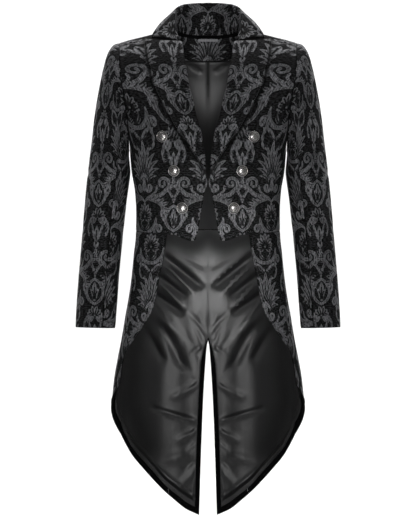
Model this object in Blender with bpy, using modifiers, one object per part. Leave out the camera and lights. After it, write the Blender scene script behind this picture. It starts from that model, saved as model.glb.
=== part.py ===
"""Gothic tailcoat in black damask brocade, open at the front, with swallow tails and a satin lining.

The coat stands filled out as if worn, with nobody in it. It is built the way it is cut: every panel is
a patch of one body form, parted from its neighbours at the seams, and given the thickness of the cloth.

Lengths are millimetres until a mesh is made. X runs to the wearer's left, the coat faces -Y, Z is up.
The origin lies between the shoulders, at the height of the shoulder tips.
"""
import math

import bpy
import numpy as np
from mathutils import Matrix, Vector

MM = 0.001                      # metres in a millimetre
MERGE = 0.0006                  # points nearer the middle plane than this, in metres, lie on it

# Driving dimensions
CLOTH = 2.0                     # brocade with its interlining and lining, as one wall
LINING = 1.2                    # hanging satin lining
SEAM = 0.25                     # each panel stops this far short of a seam line
FACING = 1.5                    # back neck facing
LAYER = 0.45                    # clearance between a panel and what lies on it
FACET = 0.9                     # how far a panel's flat facets may stand off its true curve
ARMPIT = -245.0                 # height of the bottom of the armhole
SHOULDER_TIP = (195.0, -6.3)    # x and z of the top of the armhole
SHOULDER_Y = 5.0                # the shoulder seam lies just behind the middle of the neck
ROUNDNESS = 2.3                 # exponent of the body's rings: 2 is an ellipse, more is squarer
REACH_FRONT = 68.0              # how far the armhole comes forward of the shoulder seam
REACH_BACK = 66.0
BUTTON_WIDTH = 25.5
SIDE_SEAM_TURN = 80.0           # where the front meets the side body, in degrees round the body


class Table:
    """Rows of numbers under named columns, read between its rows along a smooth curve."""

    def __init__(self, columns, rows):
        self.columns = columns.split()
        self.rows = np.array(sorted(rows), dtype=float)
        steps = np.diff(self.rows, axis=0)
        self.slopes = steps[:, 1:] / steps[:, :1]

    def tangent(self, row, column):
        last = len(self.rows) - 1
        if row == 0 or row == last:
            return self.slopes[min(row, last - 1), column - 1]
        before, after = self.slopes[row - 1, column - 1], self.slopes[row, column - 1]
        if before * after <= 0:
            return 0.0
        return 2 * before * after / (before + after)

    def at(self, place, name):
        column = self.columns.index(name)
        keys = self.rows[:, 0]
        place = min(max(place, keys[0]), keys[-1])
        row = min(int(np.searchsorted(keys, place, side="right")) - 1, len(keys) - 2)
        width = keys[row + 1] - keys[row]
        part = (place - keys[row]) / width
        low, high = self.rows[row, column], self.rows[row + 1, column]
        leave, arrive = self.tangent(row, column) * width, self.tangent(row + 1, column) * width
        return (low * (1 + 2 * part) * (1 - part) ** 2 + leave * part * (1 - part) ** 2
                + high * part ** 2 * (3 - 2 * part) + arrive * part ** 2 * (part - 1))


# The body form -----------------------------------------------------------------------------------

SHOULDER = Table("x height", [      # the shoulder seam, from the middle of the neck to the tip
    (0, 30), (30, 28.5), (55, 24.5), (76, 20), (95, 17.8), (116, 14), (139, 8.6), (171, 0.8), SHOULDER_TIP,
])
ARMHOLE = Table("height front back", [      # x of the armhole seam, on the chest and on the back
    (-6.3, 195, 195), (-68, 193.5, 195), (-117, 186, 191), (-150, 181, 187), (-180, 177, 182),
    (-220, 173, 175), (ARMPIT, 172, 172),
])
RINGS = Table("height half_width front back middle", [      # rings round the body and the skirt; middle is y
    (ARMPIT, 172, 120, 110, 0), (-290, 168, 117, 104, 0), (-335, 160.5, 111, 96, 0), (-381, 158, 106, 89, 0),
    (-425, 158.5, 104, 88, 0), (-473, 163.5, 103, 95, 1), (-521, 169, 103, 101, 4), (-568, 175.5, 101, 105, 8),
    (-605, 182, 98, 105, 12), (-660, 191, 93, 101, 18), (-708, 200.5, 90, 98, 22), (-755, 208, 88, 95, 26),
    (-805, 212, 86, 93, 29), (-860, 212.5, 85, 92, 32), (-1060, 213, 84, 94, 34),
])
FLUTES = [      # soft vertical folds of the tails: turn, half width in degrees, depth at the hem
    (172, 7, 7.0), (153, 9, 9.0), (133, 8, -6.0), (112, 10, 6.0), (93, 8, -3.0),
]
FLUTES_START, FLUTES_FULL = -430.0, -960.0


def level_of(x, height):
    """Level 0 is the shoulder seam, 1 is the armpit, and below it the level goes on with the height."""
    if height <= ARMPIT:
        return height / ARMPIT
    share = (height - ARMPIT) / (SHOULDER.at(x, "height") - ARMPIT)
    return math.degrees(math.acos(min(share, 1.0))) / 90


def armhole_turn(level, back):
    """How far round the body, in degrees, the armhole lies at a level; below the armpit it is the side."""
    if level >= 1:
        return 90.0
    lean = math.cos(math.radians(90 * level))
    depth = RINGS.at(ARMPIT, "back" if back else "front")
    reach = (REACH_BACK if back else REACH_FRONT) / depth * math.sqrt(8 * lean / 3)
    turn = math.degrees(math.acos(min(reach, 1.0) ** (ROUNDNESS / 2)))
    return 180 - turn if back else turn


def ring(level, back):
    """Half width, depth, middle y and the width's share of a whole ring, at a level."""
    side = "back" if back else "front"
    if level >= 1:
        height = level * ARMPIT
        return RINGS.at(height, "half_width"), RINGS.at(height, side), RINGS.at(height, "middle"), 1.0
    lean = math.cos(math.radians(90 * level))
    seam_height = ARMPIT + (SHOULDER_TIP[1] - ARMPIT) * lean
    turn = math.radians(armhole_turn(level, back))
    share = abs(math.sin(turn)) ** (2 / ROUNDNESS)
    depth = RINGS.at(ARMPIT, side) * math.sin(math.radians(90 * level))
    return ARMHOLE.at(seam_height, side), depth, SHOULDER_Y * lean, share


def form(turn, level):
    """A point of the coat's outer face. Turn 0 is the centre front, 90 the side, 180 the centre back."""
    back = turn > 90
    width, depth, middle, share = ring(level, back)
    angle = math.radians(turn)
    x = width / share * abs(math.sin(angle)) ** (2 / ROUNDNESS)
    y = middle - math.copysign(depth * abs(math.cos(angle)) ** (2 / ROUNDNESS), math.cos(angle))
    if level >= 1:
        height = level * ARMPIT
    else:
        height = ARMPIT + (SHOULDER.at(x, "height") - ARMPIT) * math.cos(math.radians(90 * level))
    fullness = min(max((height - FLUTES_START) / (FLUTES_FULL - FLUTES_START), 0.0), 1.2)
    bulge = fullness * sum(depth_at_hem * math.exp(-((turn - middle_turn) / half) ** 2)
                           for middle_turn, half, depth_at_hem in FLUTES)
    return Vector((x, y - bulge * math.cos(angle), height))


def turn_at(x, level, back=False):
    """The turn of the form's point at a distance x from the middle, on the chest or on the back."""
    width, _, _, share = ring(level, back)
    ratio = min(max(x * share / width, 0.0), 1.0)
    turn = math.degrees(math.asin(ratio ** (ROUNDNESS / 2)))
    return 180 - turn if back else turn


def outward(turn, level):
    """The unit normal of the form, pointing out of the coat."""
    step_turn, step_level, nearest = 0.4, 0.004, 0.05
    low_turn, low_level = max(turn - step_turn, nearest), max(level - step_level, 0.0)
    high_turn = min(turn + step_turn, 180 - nearest)
    around = form(high_turn, level) - form(low_turn, level)
    down = form(turn, level + step_level) - form(turn, low_level)
    return around.cross(down).normalized() * -1


def raised(turn, level, height):
    """A point above the form's outer face, or inside it where the height is negative."""
    return form(turn, level) + outward(turn, level) * height


# Seam lines of the left half: places on the form --------------------------------------------------

NECK_BACK = Table("x height", [(0, 9), (25, 9.6), (45, 11.5), (60, 14.5), (70, 17.8), (76, 20)])
FRONT_EDGE = Table("height x", [        # roll line of the lapel, the closure, and the cut-away edge
    (-5, 60.5), (-29, 57), (-62, 52), (-97, 46.5), (-130, 38), (-167, 29), (-202, 19.5), (-238, 13.5),
    (-268, 9), (-296, 5), (-315, 0.5), (-337, 8), (-359, 11), (-381, 15.4), (-403, 19), (-425, 23),
    (-436, 27.5), (-441, 33),
])
FRONT_HEM = Table("x height", [(24, -436), (33, -442), (47, -439.5), (58, -435), (71, -430), (90, -427)])
TAIL_EDGE = Table("height x", [         # the skirt's free front edge, from the waist round to the side
    (-427, 90), (-453, 93.5), (-482, 98), (-524, 107), (-565, 114), (-590, 120), (-607, 129),
    (-629, 143), (-653, 158), (-673, 174), (-691, 184), (-722, 190), (-750, 193), (-783, 196), (-816, 204),
])
TAIL_HEM = Table("x height", [          # and on along the hem to the tip beside the vent
    (19, -1051), (48, -1038), (76, -1015.5), (101, -993.5), (123, -970.5), (146, -944), (167, -918),
    (182, -892.5), (196, -863), (204, -837), (208, -821),
])
WAIST_SEAM = Table("turn height", [(30, -427), (90, -420), (180, -418)])
SIDE_BACK_SEAM = Table("height x", [    # from the back of the armhole in to the waist and down the tail
    (-150, 187), (-180, 166), (-215, 142), (-250, 122), (-300, 99), (-350, 82), (-420, 70),
    (-560, 75), (-800, 84), (-1020, 88),
])
HEM_CORNER = 206.0      # x where the free front edge turns into the hem, at the widest of the tail
VENT = Table("height x", [(-660, 0), (-675, 2.5), (-748, 8), (-815, 11.5), (-945, 16.3), (-1055, 19.5)])

WAIST_LEVEL = level_of(0, -420)
LAPEL_EDGE = Table("height x", [        # free outer edge of the lapel
    (2, 140), (-17, 137), (-45, 132), (-69, 127), (-92, 122), (-118, 113), (-141, 101), (-167, 87),
    (-193, 73), (-212, 59), (-233, 43), (-256, 27), (-277, 14), (-296, 8),
])
LAPEL_TOP, LAPEL_END = (60.5, -5.5, 139.5, -0.5), -286.0


def mix(low, high, share):
    return low + (high - low) * share


def front_edge(level):
    """The front's inner edge: neckline from the shoulder seam, then roll line, then open edge."""
    neck_end = level_of(60.5, -5)
    if level < neck_end:
        x = mix(76, 60.5, (level / neck_end) ** 2)
    else:
        x = FRONT_EDGE.at(height_on_edge(level), "x")
    return turn_at(x, level)


def height_on_edge(level):
    """The height of the front edge at a level, which above the armpit depends on the shoulder."""
    if level >= 1:
        return level * ARMPIT
    height = -5.0
    for _ in range(6):
        x = FRONT_EDGE.at(height, "x")
        height = ARMPIT + (SHOULDER.at(x, "height") - ARMPIT) * math.cos(math.radians(90 * level))
    return height


def side_seam(level):
    """The front's outer edge: the armhole, then the seam under the arm."""
    if level < 1:
        return min(armhole_turn(level, False), SIDE_SEAM_TURN)
    return SIDE_SEAM_TURN


def back_seam(level):
    """The back's outer edge: the armhole, then the curved seam down to the waist and the tail."""
    start = level_of(187, -150)
    if level < start:
        return armhole_turn(level, True)
    height = level * ARMPIT
    for _ in range(6):
        x = SIDE_BACK_SEAM.at(height, "x")
        if level < 1:
            height = ARMPIT + (SHOULDER.at(x, "height") - ARMPIT) * math.cos(math.radians(90 * level))
    return max(turn_at(x, level, True), armhole_turn(level, True))


def vent_edge(level):
    """The centre back, and below the vent's top the edge of the tail."""
    return turn_at(VENT.at(level * ARMPIT, "x"), level, True)


def hem_point(share, start_x, end_x):
    """A place on the hem between two distances from the centre back, as turn and level."""
    x = mix(start_x, end_x, share)
    level = TAIL_HEM.at(x, "height") / ARMPIT
    return turn_at(x, level, True), level


def free_edge(share):
    """The skirt's front edge, down from the waist seam and round the side to the start of the hem."""
    waist_level, (corner_turn, corner_level) = -427 / ARMPIT, hem_point(1, 22, HEM_CORNER)
    level = mix(waist_level, corner_level, share)
    late = max((share - 0.8) / 0.2, 0.0)
    return mix(turn_at(TAIL_EDGE.at(level * ARMPIT, "x"), level), corner_turn, late * late * (3 - 2 * late)), level


# Patches between four seam lines ------------------------------------------------------------------

def fine_at_ends(share, bend=0.55):
    """Moves a share from 0 to 1 so that steps are small at both ends, where panels meet at seams."""
    return mix(share, (1 - math.cos(math.pi * share)) / 2, bend)


def patch(top, bottom, start, end, columns, rows, crowd=1.0, fine=0.55):
    """Places (turn, level) filled in between four edges, as rows from top to bottom. Crowd draws them up."""
    corners = [np.array(edge(share)) for edge, share in ((top, 0), (top, 1), (bottom, 0), (bottom, 1))]
    grid = []
    for row in range(rows + 1):
        down = fine_at_ends(row / rows, 0.35 * fine) ** crowd
        line = []
        for column in range(columns + 1):
            across = fine_at_ends(column / columns, fine)
            place = (mix(np.array(top(across)), np.array(bottom(across)), down)
                     + mix(np.array(start(down)), np.array(end(down)), across)
                     - mix(mix(corners[0], corners[1], across), mix(corners[2], corners[3], across), down))
            line.append((float(place[0]), float(max(place[1], 0.0))))
        grid.append(line)
    return grid


def stepped_back(points, gap=SEAM, sides="tbse"):
    """Pulls the outer rows and columns of a grid in, so that panels part at their seams."""
    rows, columns = len(points), len(points[0])
    moved = [[point.copy() for point in line] for line in points]
    for column in range(columns):
        for side, row, inner in (("t", 0, 1), ("b", rows - 1, rows - 2)):
            if side in sides:
                moved[row][column] += (points[inner][column] - points[row][column]).normalized() * gap
    for row in range(rows):
        for side, column, inner in (("s", 0, 1), ("e", columns - 1, columns - 2)):
            if side in sides:
                moved[row][column] += (points[row][inner] - points[row][column]).normalized() * gap
    return moved


def on_form(grid, height=0.0):
    """The points of a patch, at a height over the form that may be a function of turn and level."""
    if callable(height):
        return [[raised(turn, level, height(turn, level)) for turn, level in line] for line in grid]
    return [[raised(turn, level, height) for turn, level in line] for line in grid]


# Blender objects ----------------------------------------------------------------------------------

def cloth_material(name, colour, roughness, sheen=0.0):
    material = bpy.data.materials.new(name)
    material.use_nodes = True
    shader = material.node_tree.nodes["Principled BSDF"]
    shader.inputs["Base Color"].default_value = (*colour, 1)
    shader.inputs["Roughness"].default_value = roughness
    shader.inputs["Sheen Weight"].default_value = sheen
    material.diffuse_color = (*colour, 1)
    return material


def metal_material(name, colour, roughness):
    material = cloth_material(name, colour, roughness)
    material.node_tree.nodes["Principled BSDF"].inputs["Metallic"].default_value = 1.0
    return material


def mirrored(points):
    """The wearer's right half of a panel, with its rows turned round so that it still faces out."""
    return [[Vector((-point.x, point.y, point.z)) for point in reversed(line)] for line in points]


def grid_object(name, points, material, wall, outer_share=-1.0, mirror=False):
    """An open sheet through a grid of points, given its wall by Solidify."""
    columns = len(points[0])
    vertices = [tuple(point * MM) for line in points for point in line]
    if mirror:      # the half meets its mirror image exactly in the middle
        vertices = [(0.0 if abs(x) < MERGE else x, y, z) for x, y, z in vertices]
    faces = []
    for row in range(len(points) - 1):
        for column in range(columns - 1):
            corner = row * columns + column
            faces.append((corner, corner + columns, corner + columns + 1, corner + 1))
    mesh = bpy.data.meshes.new(name)
    mesh.from_pydata(vertices, [], faces)
    mesh.materials.append(material)
    mesh.shade_smooth()
    piece = bpy.data.objects.new(name, mesh)
    GARMENT.objects.link(piece)
    if mirror:
        half = piece.modifiers.new("other half", "MIRROR")
        half.use_axis = (True, False, False)
        half.merge_threshold = MERGE / 10
    thicken = piece.modifiers.new("cloth wall", "SOLIDIFY")
    thicken.thickness = wall * MM
    thicken.offset = outer_share
    thicken.use_even_offset = outer_share == 0.0
    thicken.use_quality_normals = True
    return piece


def pair(name, points, material, wall, outer_share=-1.0):
    """The wearer's left panel and its mirror image."""
    grid_object(f"{name}_left", points, material, wall, outer_share)
    grid_object(f"{name}_right", mirrored(points), material, wall, outer_share)


# Body panels --------------------------------------------------------------------------------------

def front_panels():
    """Forepart: shoulder to waist, from the roll line and open edge to the seam under the arm."""
    hem_turn = [turn_at(x, level_of(x, -430)) for x in (26, 90)]

    def top(share):
        return mix(front_edge(0), side_seam(0), share), 0.0

    def bottom(share):
        turn = mix(hem_turn[0], SIDE_SEAM_TURN, share)
        if turn < hem_turn[1]:
            x = form(turn, WAIST_LEVEL).x
            return turn, FRONT_HEM.at(x, "height") / ARMPIT
        return turn, WAIST_SEAM.at(turn, "height") / ARMPIT

    def inner(share):
        level = share * bottom(0)[1]
        return (front_edge(level) if share < 1 else hem_turn[0]), level

    def outer(share):
        level = share * bottom(1)[1]
        return side_seam(level), level

    return patch(top, bottom, inner, outer, 10, 23, 1.1)


def side_panels():
    """Side body under the arm, from the bottom of the armhole to the waist."""
    front_level = next(step / 1000 for step in range(1000) if armhole_turn(step / 1000, False) >= SIDE_SEAM_TURN)
    back_level = level_of(187, -150)
    waist_turn = back_seam(WAIST_LEVEL)

    def top(share):
        swing = mix(-1.0, 1.0, share)
        if swing < 0:
            level = mix(1.0, front_level, math.sin(-swing * math.pi / 2) ** 2)
            return armhole_turn(level, False), level
        level = mix(1.0, back_level, math.sin(swing * math.pi / 2) ** 2)
        return armhole_turn(level, True), level

    def bottom(share):
        turn = mix(SIDE_SEAM_TURN, waist_turn, share)
        return turn, WAIST_SEAM.at(turn, "height") / ARMPIT

    def front(share):
        return SIDE_SEAM_TURN, mix(front_level, bottom(0)[1], share)

    def back(share):
        level = mix(back_level, bottom(1)[1], share)
        return back_seam(level), level

    return patch(top, bottom, front, back, 9, 13)


def back_panels():
    """Back and back tail in one, from the neck and shoulder seams to the hem."""
    neck_turn = turn_at(76, 0.0, True)
    neck_share = 0.36
    neck_level = level_of(0, 9)
    seam_x = 87.5

    def top(share):
        if share < neck_share:
            x = 76 * share / neck_share
            level = level_of(x, NECK_BACK.at(x, "height"))
            return turn_at(x, level, True), level
        return mix(neck_turn, armhole_turn(0, True), (share - neck_share) / (1 - neck_share)), 0.0

    def bottom(share):
        return hem_point(share, 19.4, seam_x)

    def centre(share):
        level = mix(neck_level, bottom(0)[1], share)
        return vent_edge(level), level

    def outer(share):
        level = share * bottom(1)[1]
        return back_seam(level), level

    return patch(top, bottom, centre, outer, 8, 40, 1.3)


def skirt_panels():
    """Front part of the tail, hung from the waist seam and joined to the back tail."""
    def top(share):
        turn = mix(free_edge(0)[0], back_seam(WAIST_LEVEL), share)
        return turn, WAIST_SEAM.at(turn, "height") / ARMPIT

    def bottom(share):
        return hem_point(1 - share, 87.5, HEM_CORNER)

    def seam(share):
        level = mix(top(1)[1], bottom(1)[1], share)
        return back_seam(level), level

    return patch(top, bottom, free_edge, seam, 11, 16, fine=0.1)


# Linings and what lies on the inside --------------------------------------------------------------

FOLDS = [       # drapes of the tail lining: x and z of both ends, half width, depth towards the inside
    (92, -482, 22, -543, 13, 8.0), (106, -522, 60, -566, 11, 7.0), (115, -560, 62, -603, 11, 6.0),
    (143, -640, 104, -702, 15, 8.0), (118, -600, 66, -650, 14, -4.0), (30, -575, 0, -590, 12, 6.0),
    (120, -812, 26, -838, 10, 4.0), (78, -800, 18, -765, 9, 4.0), (70, -895, 24, -865, 11, 5.0),
    (96, -925, 30, -915, 10, 4.0), (60, -985, 26, -950, 9, 4.0),
]


def fold_depth(point):
    """How far the lining's drapes stand in from where it would lie flat."""
    total = 0.0
    here = Vector((point.x, point.z))
    for start_x, start_z, end_x, end_z, half, depth in FOLDS:
        start, end = Vector((start_x, start_z)), Vector((end_x, end_z))
        run = end - start
        along = min(max((here - start).dot(run) / run.length_squared, 0.0), 1.0)
        away = (here - start - run * along).length
        taper = 0.45 + 0.55 * math.sin(math.pi * (0.1 + 0.8 * along))
        total += depth * taper * math.exp(-(away / half) ** 2)
    return total


def tail_lining_height(turn, level):
    """The lining lies close to the tail at its edges and drapes in between."""
    point = form(turn, level)
    inside = CLOTH + FACET + LAYER + 3.4
    return -(inside + max(fold_depth(point), -3.5))


def tail_lining_panels():
    """Satin inside one tail, short of its free edges by a turned hem."""
    turned_angle, turned, corner_x, tip_x = 5.0, 14.0, 200.0, 30.0

    def top(share):
        turn = mix(free(0)[0], 180, share)
        return turn, WAIST_SEAM.at(turn, "height") / ARMPIT

    def bottom(share):
        x = mix(corner_x, tip_x, share)
        level = (TAIL_HEM.at(x, "height") + turned) / ARMPIT
        return turn_at(x, level, True), level

    def free(share):
        turn, _ = free_edge(share)
        late = max((share - 0.8) / 0.2, 0.0)
        turn = mix(turn + turned_angle, bottom(0)[0], late * late * (3 - 2 * late))
        return turn, mix(-427 / ARMPIT, bottom(0)[1], share)

    def centre(share):
        level = mix(top(1)[1], bottom(1)[1], share)
        x = VENT.at(level * ARMPIT, "x")
        spare = min(max((-650 - level * ARMPIT) / 60, 0.0), 1.0) * 9.0
        return turn_at(x + spare, level, True), level

    return patch(top, bottom, free, centre, 11, 18, fine=0.1)


def back_lining_panel():
    """Satin inside the back, from the facing to the waist, with its pleat down the centre back."""
    top_z, inset = -44.5, 5.0

    def top(share):
        x = mix(190, 0, share)
        level = level_of(x, top_z)
        return turn_at(x, level, True), level

    def bottom(share):
        turn = mix(92, 180, share)
        return turn, (WAIST_SEAM.at(turn, "height") + 1.5) / ARMPIT

    def outer(share):
        level = mix(top(0)[1], bottom(0)[1], share)
        armhole = armhole_turn(min(level, 1.0), True) if level < 1 else 90
        return max(armhole + inset, 92), level

    def centre(share):
        return 180, mix(top(1)[1], bottom(1)[1], share)

    def height(turn, level):
        x = form(turn, level).x
        pleat = 5.0 * math.exp(-(x / 9.0) ** 2) * min(max((2.0 - level) / 1.2, 0.0), 1.0)
        return -(CLOTH + FACET + LAYER + 2.0 + pleat)

    return on_form(patch(top, bottom, outer, centre, 9, 10), height)


def neck_facing_panel():
    """Half moon of brocade under the collar, inside the back."""
    def top(share):
        x = mix(92, 0, share)
        height = NECK_BACK.at(x, "height") - 1.0 if x < 70 else mix(16.5, 3.0, (x - 70) / 22)
        level = level_of(x, height)
        return turn_at(x, level, True), level

    def bottom(share):
        x = mix(96, 0, share)
        height = -43.5 + 22 * (x / 96) ** 6
        level = level_of(x, height)
        return turn_at(x, level, True), level

    def outer(share):
        return tuple(mix(np.array(top(0)), np.array(bottom(0)), share))

    def centre(share):
        return 180, mix(top(1)[1], bottom(1)[1], share)

    return on_form(patch(top, bottom, outer, centre, 9, 5), -(CLOTH + 2 * FACET + LAYER))


def label_panel():
    """Bare woven label at the back neck, under the collar seam."""
    half_width, low, high = 22.0, 1.8, 6.8
    lift = -(CLOTH + 2 * FACET + LAYER + FACING + LAYER)

    def place(x, height):
        level = level_of(x, height)
        return turn_at(x, level, True), level

    return on_form([[place(x, height) for x in np.linspace(half_width, 0, 4)] for height in (high, low)], lift)


# Collar and lapels --------------------------------------------------------------------------------

LEAF_WALL = 2.0         # lapel and collar leaf: two layers of brocade with canvas between
ROLL = 3.4              # radius of the soft roll at the fold


def lapel_panels():
    """Lapel: rises over the panel's edge in a soft roll and lies back on the chest."""
    lines = []
    rows = 16
    for row in range(rows + 1):
        down = row / rows
        inner_height = mix(LAPEL_TOP[1], LAPEL_END, down)
        inner_x = FRONT_EDGE.at(inner_height, "x")
        outer_height = mix(LAPEL_TOP[3], LAPEL_END, down ** 1.02)
        outer_x = LAPEL_EDGE.at(outer_height, "x")
        width = outer_x - inner_x
        roll = max(0.62, min(1.0, width / 14.0))
        # along: distance from the roll line over the chest; lift: height of the wall's middle
        roll_steps = [(-0.8, -1.0), (-2.4, -0.4), (-3.4, 1.4), (-2.9, 3.6), (-0.6, 4.9)]
        section = [(along * roll, (lift + 1.0) * roll - 1.0) for along, lift in roll_steps]
        rest = 1.9 * FACET + LAYER + LEAF_WALL / 2
        for share in (0.09, 0.25, 0.5, 0.78, 1.0):
            lift = rest + (4.9 - rest) * roll * (1 - share) ** 2 * math.exp(-2.2 * share)
            section.append((share * width, lift))
        line = []
        for along, lift in section:
            share = max(along / width, 0.0)
            height = mix(inner_height, outer_height, share)
            x = mix(inner_x, outer_x, share)
            level = level_of(x, height)
            point = raised(turn_at(x, level), level, lift)
            point.x += min(along, 0.0)
            line.append(point)
        lines.append(line)
    return lines


COLLAR = [      # sections of the left half: neck seam (x, z, side), fold line (x, y, z), leaf's edge (x, z, side)
    ((0, 9, "back"), (0, 41, 80), (0, -16, "back")),
    ((25, 9.6, "back"), (27, 38.5, 79), (38, -15, "back")),
    ((45, 11.5, "back"), (48, 30, 76.5), (73, -11, "back")),
    ((63, 15.3, "back"), (63, 15, 70), (100, -2, "back")),
    ((76, 20, "back"), (73, -3, 55), (118, 12.6, "back")),
    ((73, 14, "front"), (73.5, -21, 34), (122, 9.6, "front")),
    ((66.5, 4, "front"), (67.5, -38, 12), (123.5, 7.0, "front")),
    ((61.5, -3.4, "front"), (61.5, -50.5, -0.6), (123.5, 4.3, "front")),
]


def place_on_form(x, height, side):
    back = side == "back"
    level = level_of(x, min(height, SHOULDER.at(x, "height")))
    return turn_at(x, level, back), level


def collar_half():
    """Stand from the neck seam up to the fold, and leaf from the fold down to the shoulders."""
    keys = np.linspace(0, 1, len(COLLAR))
    guides = {"neck": [], "fold": [], "edge": []}
    for neck, fold, edge in COLLAR:
        turn, level = place_on_form(*neck)
        guides["neck"].append(raised(turn, level, -CLOTH / 2))
        guides["fold"].append(Vector(fold))
        turn, level = place_on_form(*edge)
        guides["edge"].append(raised(turn, level, 1.6 * FACET + LAYER + LEAF_WALL / 2))
    tables = {name: Table("share x y z", [(key, *point) for key, point in zip(keys, points)])
              for name, points in guides.items()}

    def read(name, share):
        return Vector([tables[name].at(share, axis) for axis in "xyz"])

    lines = []
    sections = 14
    for section in range(sections + 1):
        share = section / sections
        neck, fold, edge = (read(name, share) for name in ("neck", "fold", "edge"))
        spread = edge - neck
        out = Vector((spread.x, spread.y, 0)).normalized()
        rise = (fold - neck).normalized()
        stand = (fold - neck).length
        roll = min(ROLL, 0.6 * stand)
        start = neck + rise * (LEAF_WALL + LAYER)
        fall = (edge - fold).length
        belly = 5.5 * math.sin(math.pi * min(share * 1.1, 1.0) * 0.5 + 0.5) * min(fall / 60, 1.0)
        line = [start, mix(start, fold, 0.33) + out * 0.8, mix(start, fold, 0.66) + out * 0.6,
                fold - rise * roll * 0.5,
                fold + out * roll * 0.35 + rise * roll * 0.45,
                fold + out * roll * 1.15 + rise * roll * 0.62,
                fold + out * roll * 1.95 + rise * roll * 0.1]
        crest = line[-1]
        for down in (0.22, 0.45, 0.7, 1.0):
            line.append(mix(crest, edge, down) + (out * 0.8 + Vector((0, 0, 0.6))) * belly * math.sin(math.pi * down))
        lines.append(line)
    return lines


# Sleeves ------------------------------------------------------------------------------------------

SLEEVE = Table("station outer_x outer_z inner_x inner_z middle_y half_depth armhole", [
    (0, 195, -6.3, 172, -245, -1, 68, 1.0), (1, 206.5, -10, 173.4, -247, -1, 70, 0.85),
    (2, 215.5, -18.5, 173.8, -250, -1, 71.5, 0.6), (3, 222.8, -35, 173.6, -255, -1, 73, 0.35),
    (4, 230.4, -62.5, 173, -262, -1.5, 74.5, 0.15), (5, 241.2, -115, 171.8, -274, -3, 75.5, 0.05),
    (6, 250, -170, 170.6, -290, -4, 75.5, 0), (7, 257.4, -235, 173.2, -315, -5, 75, 0),
    (8, 264.2, -290, 177.5, -345, -6, 73, 0), (9, 270, -345, 181.3, -382, -8, 71, 0),
    (10, 274.8, -405, 186, -425, -11, 68.5, 0), (11, 279.3, -460, 191, -472, -15, 65.5, 0),
    (12, 284, -515, 195.5, -522, -20, 62, 0), (13, 288.3, -574, 199.3, -577, -26, 58, 0),
    (14, 291.2, -631, 203.5, -633, -33, 53, 0),
])
SLEEVE_SEAM = 112.0     # degrees from the top of the sleeve to the seams, to the front and to the back
CREASES = [             # soft creases of the sleeve: station, turn of its middle, half length, depth
    (9.2, 95, 60, -3.0), (9.9, 120, 55, -2.5), (8.4, -100, 55, -2.5), (6.6, 60, 40, -1.8), (11.6, 80, 45, -1.5),
]


def sleeve_point(station, angle):
    """A point of the sleeve's outer face: angle 0 is the top of the arm, 90 the front, 180 the underarm."""
    value = {name: SLEEVE.at(station, name) for name in SLEEVE.columns[1:]}
    turn = math.radians(angle)
    lean = math.cos(turn)
    middle = Vector(((value["outer_x"] + value["inner_x"]) / 2, value["middle_y"],
                     (value["outer_z"] + value["inner_z"]) / 2))
    half = Vector(((value["outer_x"] - value["inner_x"]) / 2, 0, (value["outer_z"] - value["inner_z"]) / 2))
    point = middle + half * lean + Vector((0, -value["half_depth"] * math.sin(turn), 0))
    share = value["armhole"]
    if share > 0:
        level = math.degrees(math.acos(min((1 + lean) / 2, 1.0))) / 90
        back = math.sin(turn) < 0
        seam = form(armhole_turn(level, back), level)
        tip = SLEEVE.rows[0]
        flat = Vector(((tip[1] + tip[3]) / 2 + (tip[1] - tip[3]) / 2 * lean,
                       tip[5] - tip[6] * math.sin(turn), (tip[2] + tip[4]) / 2 + (tip[2] - tip[4]) / 2 * lean))
        point += (seam - flat) * share
    for crease_station, crease_turn, half_length, depth in CREASES:
        away = (angle - crease_turn + 180) % 360 - 180
        dent = depth * math.exp(-((station - crease_station) / 0.33) ** 2 - (away / half_length) ** 2)
        point += (point - middle).normalized() * dent
    return point


def sleeve_panel(first, last, columns):
    stations = [0, 0.45, 1, 1.6, 2.3, 3, 4, 5, 6, 7, 8, 8.8, 9.4, 10, 11, 12, 13, 14]
    return [[sleeve_point(station, mix(first, last, fine_at_ends(column / columns)))
             for column in range(columns + 1)] for station in stations]


# Buttons ------------------------------------------------------------------------------------------

BUTTONS = [(99.0, -213.4), (73.5, -288.0), (55.7, -369.4)]      # x and z on the left front, from the top
BUTTON_PROFILE = [      # radius and height, from the middle of the dome down its outer side to the shank's end
    (0.0, 8.6), (4.4, 8.1), (8.2, 6.7), (10.4, 5.1), (11.5, 5.7), (12.75, 4.5), (11.8, 2.8), (4.2, 2.4),
    (3.6, 0.0), (0.0, 0.0),
]


def button(name, x, height, side, material):
    """Domed shank button: a turned profile, seated on the front."""
    level = level_of(x, height)
    turn = turn_at(x, level)
    seat = raised(turn, level, 0.35)
    normal = outward(turn, level)
    seat.x, normal.x = seat.x * side, normal.x * side
    mesh = bpy.data.meshes.new(name)
    points = [(radius * BUTTON_WIDTH / 25.5 * MM, 0, rise * MM) for radius, rise in BUTTON_PROFILE]
    mesh.from_pydata(points, [(step, step + 1) for step in range(len(points) - 1)], [])
    mesh.materials.append(material)
    piece = bpy.data.objects.new(name, mesh)
    GARMENT.objects.link(piece)
    turned = piece.modifiers.new("turned", "SCREW")
    turned.steps = turned.render_steps = 12
    turned.use_merge_vertices = True
    turned.merge_threshold = 0.00005
    turned.use_smooth_shade = True
    piece.matrix_world = Matrix.Translation(seat * MM) @ normal.to_track_quat("Z", "Y").to_matrix().to_4x4()


# Build --------------------------------------------------------------------------------------------

for leftover in list(bpy.data.objects):
    bpy.data.objects.remove(leftover, do_unlink=True)
GARMENT = bpy.data.collections.new("gothic_tailcoat")
bpy.context.scene.collection.children.link(GARMENT)

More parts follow.
